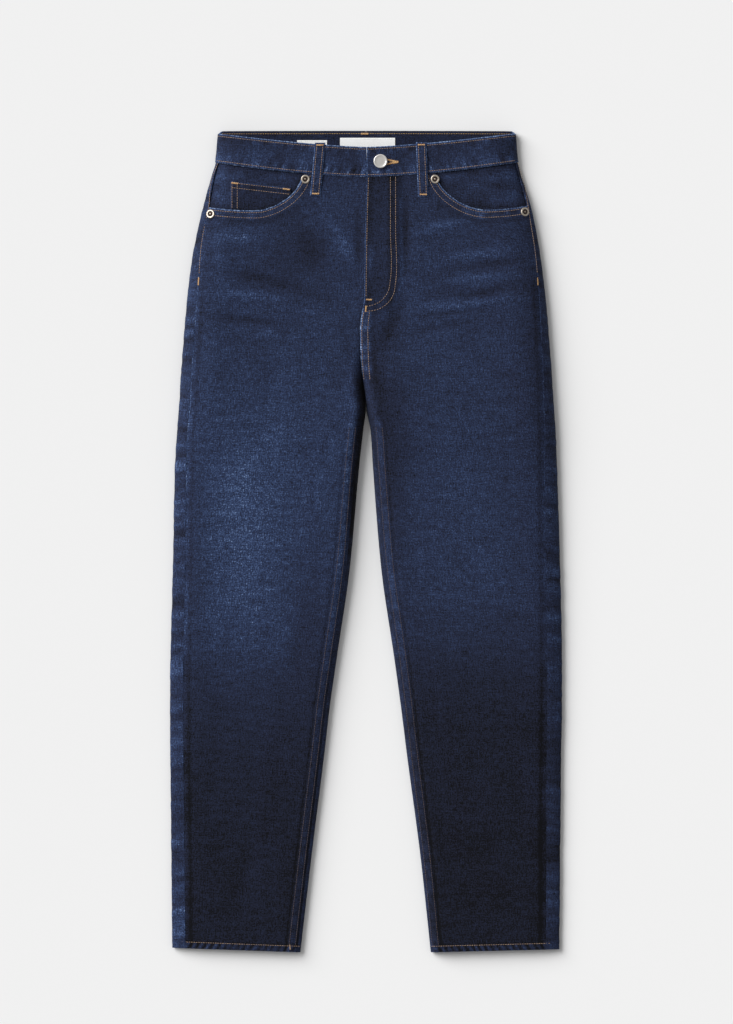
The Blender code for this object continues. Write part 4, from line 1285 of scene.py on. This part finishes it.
SEAM_ROW = {  # the single row beside each side seam, down to its bar tack
    "right": [(180.6, 961.8), (189.1, 937), (191.5, 910), (197.3, 883.3), (200.7, 861.3),
              (203.5, 827.2)],
    "left": [(184.2, 963.2), (192.8, 937), (197, 911.3), (200.6, 889.4), (205.4, 861.3),
             (209, 828.4)],
}
INSEAM_TOP = 640.0
tan_rows, rust_rows, orange_rows = [], [], []
for side in ("right", "left"):
    x = np.linspace(1.2, BAND_HALF - 1, 240)
    tan_rows.append(band_row(side, x, front_band_low(x) + BAND_ROWS[0]))
    tan_rows.append(band_row(side, x, front_band_top(x) - BAND_ROWS[1]))
    tan_rows.append(front_curve(side, SEAM_ROW[side]))
    foot = SEAM_ROW[side][-1]
    orange_rows.append(front_tack(side, (foot[0] + 0.3, 822.5), (foot[0] + 0.8, 813), 1.9))
    mouth = MOUTH[side]
    for below in MOUTH_ROWS:
        # each row runs parallel to the mouth's edge, so it is stepped off square to it
        share = np.linspace(0, 1, 260) ** 1.8
        x = mouth["inner"] + 0.02 + (at(side + "_outer", 905) - at(side + "_seam", 905)
                                     - mouth["inner"] - 1.5) * share
        y = mouth_y(side, x)
        tangent = np.stack([np.gradient(x), np.gradient(y)], -1)
        tangent /= np.linalg.norm(tangent, axis=1, keepdims=True)
        x, y = x + tangent[:, 1] * below, y - tangent[:, 0] * below
        keep = y < front_band_low(x) - 1.5
        tan_rows.append(front_row(side, x[keep], y[keep]))
    for offset in (-INSEAM_HALF, INSEAM_HALF):
        y = np.linspace(9, INSEAM_TOP, 400)
        middle = at(side + "_inner", y) + np.interp(y, *INSEAM_MIDDLE[side])
        rust_rows.append(front_row(side, middle + offset, y))
    hem_inner, hem_outer = at(side + "_inner", 6) + 1.5, at(side + "_outer", 6) - 11
    x = np.linspace(hem_inner, hem_outer, 120)
    across = (x - hem_inner) / (hem_outer - hem_inner)
    tan_rows.append(front_row(side, x, HEM_DEPTH + HEM_SLANT[side] * across))
tan_rows.append(front_tack("right", (92.5, 3.5), (92.9, 9.5), 1.7))

RISE_ROWS = (2.1, 8.6)  # both on the left panel, which lies over the right one
for x in RISE_ROWS:
    tan_rows.append(front_row("left", x, np.linspace(698, FLY_FOOT - 5, 60)))
tan_rows.append(front_row("left", 2.4, np.linspace(FLY_FOOT + 14, 944, 80)))
J_STITCH = [
    [(29.6, 945), (30.0, 880), (29.9, 818), (27.8, 806), (22.1, 796.5), (15.0, 790.5),
     (6.8, 787.6), (3.6, 787.2)],
    [(35.9, 945), (36.1, 880), (36.1, 816), (33.4, 801), (26.6, 790.5), (18.0, 784),
     (7.3, 781.3), (4.0, 781.0)],
]
for stops in J_STITCH:
    tan_rows.append(front_curve("left", stops))
sew("topstitch_tan", tan_rows, "tan")
sew("inseam_stitch_rust", rust_rows, "rust")

# the fly's own tacks, and those of the coin pocket
orange_rows.append(front_tack("left", (2.4, 795.5), (9.4, 795.2), 2.2))
orange_rows.append(front_tack("left", (3.6, 788), (4.2, 780.5), 2.2))
coin_rows = []
for below in (1.6, 7.4):
    x = np.linspace(COIN_INNER + 1.5, COIN_OUTER - 1, 60)
    y = coin_top(x) - below
    coin_rows.append(row_along(on_front("right", x, y, 0.15), front_normal("right", x, y)))
for inset in (1.8, 8.2):
    y = np.linspace(mouth_y("right", COIN_OUTER - inset) + 1.5, coin_top(COIN_OUTER) - 1.5, 40)
    x = np.full(40, COIN_OUTER - inset)
    coin_rows.append(row_along(on_front("right", x, y, 0.15), front_normal("right", x, y)))
sew("coin_pocket_stitch", coin_rows, "tan", seed=3)
for start in (COIN_INNER + 1.0, COIN_OUTER - 9.5):
    x = np.linspace(start, start + 8.5, 12)
    y = coin_top(x) - 1.6
    orange_rows.append(
        tack(on_front("right", x, y, 0.4), front_normal("right", x, y), 2.3)
    )

loop_rows = []
for side in FRONT_LOOPS:
    share = np.linspace(0.03, 0.97, 80)
    middle = on_loop(side, 0.0, share)
    up = front_normal(side, np.abs(middle[:, 0]), middle[:, 1])
    for across in (-0.58, 0.58):
        loop_rows.append(row_along(on_loop(side, across, share, LOOP_WALL + 0.1), up))
    for end in (0.045, 0.955):
        across = np.linspace(-0.68, 0.68, 12)
        points = on_loop(side, across, end, LOOP_WALL + 0.25)
        out = front_normal(side, np.abs(points[:, 0]), points[:, 1])
        orange_rows.append(tack(points, out, 2.1))
sew("belt_loop_stitch", loop_rows, "tan", seed=4)

# the buttonhole, worked round in close stitches from the button to its point
HOLE = [(22, 965.9), (26.5, 965.6), (31, 964.6), (36, 963.5), (39.0, 963.0), (36, 962.3),
        (31, 961.6), (26.5, 960.6), (22, 960.3)]
line = curve_through(HOLE, 120)
hole_x, hole_y = line[:, 0], line[:, 1]
height, _ = band_relief("left", hole_x, hole_y)
orange_rows.append(
    tack(
        on_front("left", hole_x, hole_y, BAND_PROUD + height + 0.25),
        front_normal("left", hole_x, hole_y), 2.6,
    )
)
sew("bar_tacks_orange", orange_rows, "orange", width=0.55, seed=5)

# inside the back of the waistband: one ochre row under its upper edge, and a tack over the
# centre loop
inside_z = REST_LIFT + BAND_WALL + 0.1
x = np.linspace(-176, 176, 300)
points = np.stack([x, back_band_top(np.abs(x)) - 3.4, np.full(300, inside_z)], -1)
up = np.tile([0.0, 0.0, 1.0], (300, 1))
ochre = [row_along(points, up)]
sew("band_inside_stitch", ochre, "ochre", width=0.8, seed=6)
x = np.linspace(-6, 3, 12)
points = np.stack([x, np.full(12, 998.0), np.full(12, inside_z + 0.2)], -1)
sew("band_inside_tack", [tack(points, up[:12], 2.4)], "orange", width=0.55, seed=7)

label_rows = []
for label in LABELS.values():
    for y in (label.top - 1.2,):
        x = np.linspace(label.left + 1, label.right - 1, 30)
        points = np.stack([x, np.full(30, y), np.full(30, BAND_INSIDE + label.thick + 0.5)], -1)
        label_rows.append(row_along(points, up[:30], pitch=2.4))
sew("label_stitch", label_rows, "white", width=0.3, seed=8)

# the underside: yoke, seat seam, seat pockets, loops and the back of the band
down = np.array([0.0, 0.0, -1.0])
under_rows, under_tacks = [], []


def under_row(stops, z, **how):
    line = curve_through(stops, 120) if len(stops) > 2 else np.linspace(*stops, 60)
    points = np.concatenate([line, np.full((len(line), 1), z)], 1)
    return row_along(points, np.tile(down, (len(line), 1)), **how)


SEAT_Z = REST_LIFT - 0.1
for side in ("right", "left"):
    s = SIGN[side]
    for up_by in (2.2, 8.6):
        under_rows.append(under_row(
            [(s * 3, YOKE_CENTRE + up_by), (s * 172, yoke_low(172.0) + up_by)], SEAT_Z))
    under_rows.append(under_row([(s * 2, 968.6), (s * 176, 968.6)], SEAT_Z))
    under_rows.append(under_row([(s * 2, 997.6), (s * 176, 995.2)], SEAT_Z))
    outline = [(38, 878), (46, 756), (110, 742), (172, 762), (178, 884)]
    for inset in (2.0, 8.4):
        shrink = 1 - inset / 66
        ring = [(s * (108 + (px - 108) * shrink), 815 + (py - 815) * shrink)
                for px, py in outline]
        for a, b in zip(ring, ring[1:]):
            under_rows.append(under_row([a, b], UNDER_GAP - 0.1))
    for drop in (3.0, 14.0):
        under_rows.append(under_row(
            [(s * 41, 878.2 - drop), (s * 175, 883.8 - drop)], UNDER_GAP - 0.1))
for x in (2.6, 8.8):
    under_rows.append(under_row([(x, 735), (x, 888)], SEAT_Z))
for middle in BACK_LOOP_X.values():
    for across in (-3.7, 3.7):
        under_rows.append(under_row(
            [(middle + across, 940), (middle + across, 997.5)], UNDER_GAP - 0.1))
    for y in (940.5, 997.0):
        x = np.linspace(middle - 5.4, middle + 5.4, 12)
        points = np.stack([x, np.full(12, y), np.full(12, UNDER_GAP - 0.05)], -1)
        under_tacks.append(tack(points, np.tile(down, (12, 1)), 2.4))
sew("seat_stitch", under_rows, "tan", width=0.5, seed=9)
sew("seat_tacks", under_tacks, "orange", width=0.45, seed=10)

# Button and rivets. A bright nickel shank button with a turned rim and a plain face, and four
# rivets whose ring, recess and nub are pressed from thin sheet.
BUTTON_X, BUTTON_Y = 17.6, 963.8
BUTTON_PROFILE = [
    (0, 0), (4.2, 0), (4.2, 1.5), (7.2, 1.7), (8.2, 2.2), (8.5, 2.8), (8.42, 3.4), (8.0, 3.95),
    (7.4, 4.15), (6.9, 4.05), (6.5, 3.75), (6.2, 3.62), (3.4, 3.72), (0, 3.78),
]
RIVET_PROFILE = [
    (0, 0), (5.3, 0.05), (5.4, 0.35), (5.35, 0.9), (5.0, 1.35), (4.4, 1.5), (3.6, 1.42),
    (3.0, 1.2), (2.6, 0.75), (1.9, 0.7), (1.5, 1.2), (1.0, 1.55), (0, 1.7),
]
RIVETS = {
    "rivet_right_inner": ("right", 73.8, 942.1),
    "rivet_right_outer": ("right", 189.2, 899.8),
    "rivet_left_inner": ("left", 84.2, 942.1),
    "rivet_left_outer": ("left", 193.2, 902.4),
}


def nickel(name, bright, dull, roughness, metallic):
    """Plated metal, duller in its recesses, with fine scratches."""
    made = bpy.data.materials.new(name)
    made.use_nodes = True
    tree = made.node_tree
    shader = tree.nodes["Principled BSDF"]
    place = tree.nodes.new("ShaderNodeTexCoord").outputs["Object"]
    shader.inputs["Metallic"].default_value = metallic
    scratches = add(tree, "ShaderNodeTexNoise", {"Vector": place, "Scale": 900.0, "Detail": 4.0})
    age = add(tree, "ShaderNodeAttribute", attribute_name="recess").outputs["Fac"]
    tone = sums(tree, "MULTIPLY_ADD", scratches.outputs["Fac"], 0.25, age, clamp=True)
    shade = add(
        tree, "ShaderNodeMix", {0: tone, 6: linear(*bright), 7: linear(*dull)},
        data_type="RGBA",
    )
    tree.links.new(shade.outputs[2], shader.inputs["Base Color"])
    rough = sums(tree, "MULTIPLY_ADD", scratches.outputs["Fac"], 0.2, roughness)
    tree.links.new(rough, shader.inputs["Roughness"])
    bump = add(
        tree, "ShaderNodeBump",
        {"Strength": 0.25, "Distance": 0.0001, "Height": scratches.outputs["Fac"]},
    )
    tree.links.new(bump.outputs["Normal"], shader.inputs["Normal"])
    return made


def turned(name, metal, side, x, y, seat, profile, recess):
    """A round piece from its profile, with a height above its seat at each radius."""
    segments = 48
    centre = on_front(side, x, y, seat)
    up = front_normal(side, np.array(x), np.array(y))
    across = np.cross(up, [0, 1, 0])
    across /= np.linalg.norm(across)
    beside = np.cross(up, across)
    turn = np.linspace(0, 2 * math.pi, segments, endpoint=False)[:, None]
    ring = np.cos(turn) * across + np.sin(turn) * beside
    points, faces, ids, deep = [], [], [], []
    for radius, height in profile:
        if radius:
            ids.append([len(points) + k for k in range(segments)])
            points += list(centre + up * height + radius * ring)
        else:
            ids.append([len(points)] * segments)
            points.append(centre + up * height)
        deep += [recess(radius, height)] * (segments if radius else 1)
    for low, high in zip(ids, ids[1:]):
        for k in range(segments):
            after = (k + 1) % segments
            face = list(dict.fromkeys([low[k], low[after], high[after], high[k]]))
            faces.append(face)
    mesh = bpy.data.meshes.new(name)
    mesh.from_pydata(((np.array(points) - [0, LENGTH / 2, 0]) * MM).tolist(), [], faces)
    mesh.attributes.new("recess", "FLOAT", "POINT").data.foreach_set("value", deep)
    mesh.shade_smooth()
    mesh.set_sharp_from_angle(angle=math.radians(60))
    mesh.materials.append(metal)
    made = bpy.data.objects.new(name, mesh)
    bpy.context.scene.collection.objects.link(made)
    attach(made, "root")
    return made


NICKEL = nickel("nickel", (226, 224, 220), (170, 166, 160), 0.22, 0.5)
RIVET_METAL = nickel("rivet_metal", (196, 186, 172), (58, 46, 42), 0.3, 0.8)
button = turned(
    "fly_button", NICKEL, "left", BUTTON_X, BUTTON_Y, BAND_PROUD + 0.3, BUTTON_PROFILE,
    lambda radius, height: 0.9 if height < 1.6 else 0.25 if radius < 6.6 else 0.0,
)
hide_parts("button")
for name, (side, x, y) in RIVETS.items():
    rivet = turned(
        f"{name}_cap", RIVET_METAL, side, x, y, 0.35, RIVET_PROFILE,
        lambda radius, height: 1.0 if 1.3 < radius < 3.2 else 0.5 if radius < 1.3 else 0.0,
    )
    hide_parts(name)

# Fly zip and fly shield. Both lie hidden behind the closed fly: the zip's tapes and coil as one
# strip of dark woven tape, and the shield as a strip of denim under it.
FLY_TOP = 943.0
ZIP_TAPE = tape("zip_tape", linear(34, 36, 48), 0.8, 1500.0)


def behind_fly(name, node, left, right, depth, thick, material):
    y, x = np.meshgrid(
        np.linspace(FLY_FOOT + 12, FLY_TOP, 25), np.linspace(left, right, 9), indexing="ij"
    )
    upper = np.stack([x, y, at("crown", y) - depth], -1)
    strip = cloth_shell(name, upper, upper - [0, 0, thick], material, "left", every=2)
    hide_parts(node)


behind_fly("fly_zip_tapes", "fly_zip", -5, 23, DENIM + 0.6, 1.3, ZIP_TAPE)
behind_fly(
    "fly_shield_cloth", "fly_shield", -18, 32, DENIM + 2.2, DENIM, DENIM_POCKET
)

# Floor, light and camera. A plain pale floor under a wide soft light from the upper left, and
# a camera that looks straight down.
floor_mesh = bpy.data.meshes.new("floor")
FLOOR_HALF = 6.0
corners = [(-1, -1), (1, -1), (1, 1), (-1, 1)]
floor_mesh.from_pydata([(x * FLOOR_HALF, y * FLOOR_HALF, 0) for x, y in corners], [], [range(4)])
floor = bpy.data.objects.new("floor", floor_mesh)
bpy.context.scene.collection.objects.link(floor)
paper = bpy.data.materials.new("floor")
paper.use_nodes = True
shader = paper.node_tree.nodes["Principled BSDF"]
shader.inputs["Base Color"].default_value = (0.86, 0.86, 0.86, 1)
shader.inputs["Roughness"].default_value = 0.9
shader.inputs["Specular IOR Level"].default_value = 0.1
floor_mesh.materials.append(paper)

world = bpy.data.worlds.new("studio")
world.use_nodes = True
world.node_tree.nodes["Background"].inputs["Color"].default_value = (1, 1, 1, 1)
world.node_tree.nodes["Background"].inputs["Strength"].default_value = 0.36
bpy.context.scene.world = world
bpy.context.scene.view_settings.view_transform = "Standard"

LIGHT_UP = math.radians(33)  # how high the soft light stands over the floor
LIGHT_TURN = math.radians(32)  # and how far it is turned from the left towards the waist
key = bpy.data.objects.new("key", bpy.data.lights.new("key", "SUN"))
key.data.angle = math.radians(46)
key.data.energy = 3.8
shining = Vector((
    math.cos(LIGHT_UP) * math.cos(LIGHT_TURN), -math.cos(LIGHT_UP) * math.sin(LIGHT_TURN),
    -math.sin(LIGHT_UP),
))
key.rotation_euler = shining.to_track_quat("-Z", "Y").to_euler()
bpy.context.scene.collection.objects.link(key)

CAMERA_HEIGHT = 14.0
SEEN_TALL = 1.249  # metres of floor from the top of the picture to its foot
camera = bpy.data.objects.new("camera", bpy.data.cameras.new("camera"))
camera.data.sensor_fit = "VERTICAL"
camera.data.sensor_height = 24.0
camera.data.lens = 24.0 * CAMERA_HEIGHT / SEEN_TALL
camera.data.clip_end = 50
camera.location = (0.0006, 0.036, CAMERA_HEIGHT)
bpy.context.scene.collection.objects.link(camera)
bpy.context.scene.camera = camera
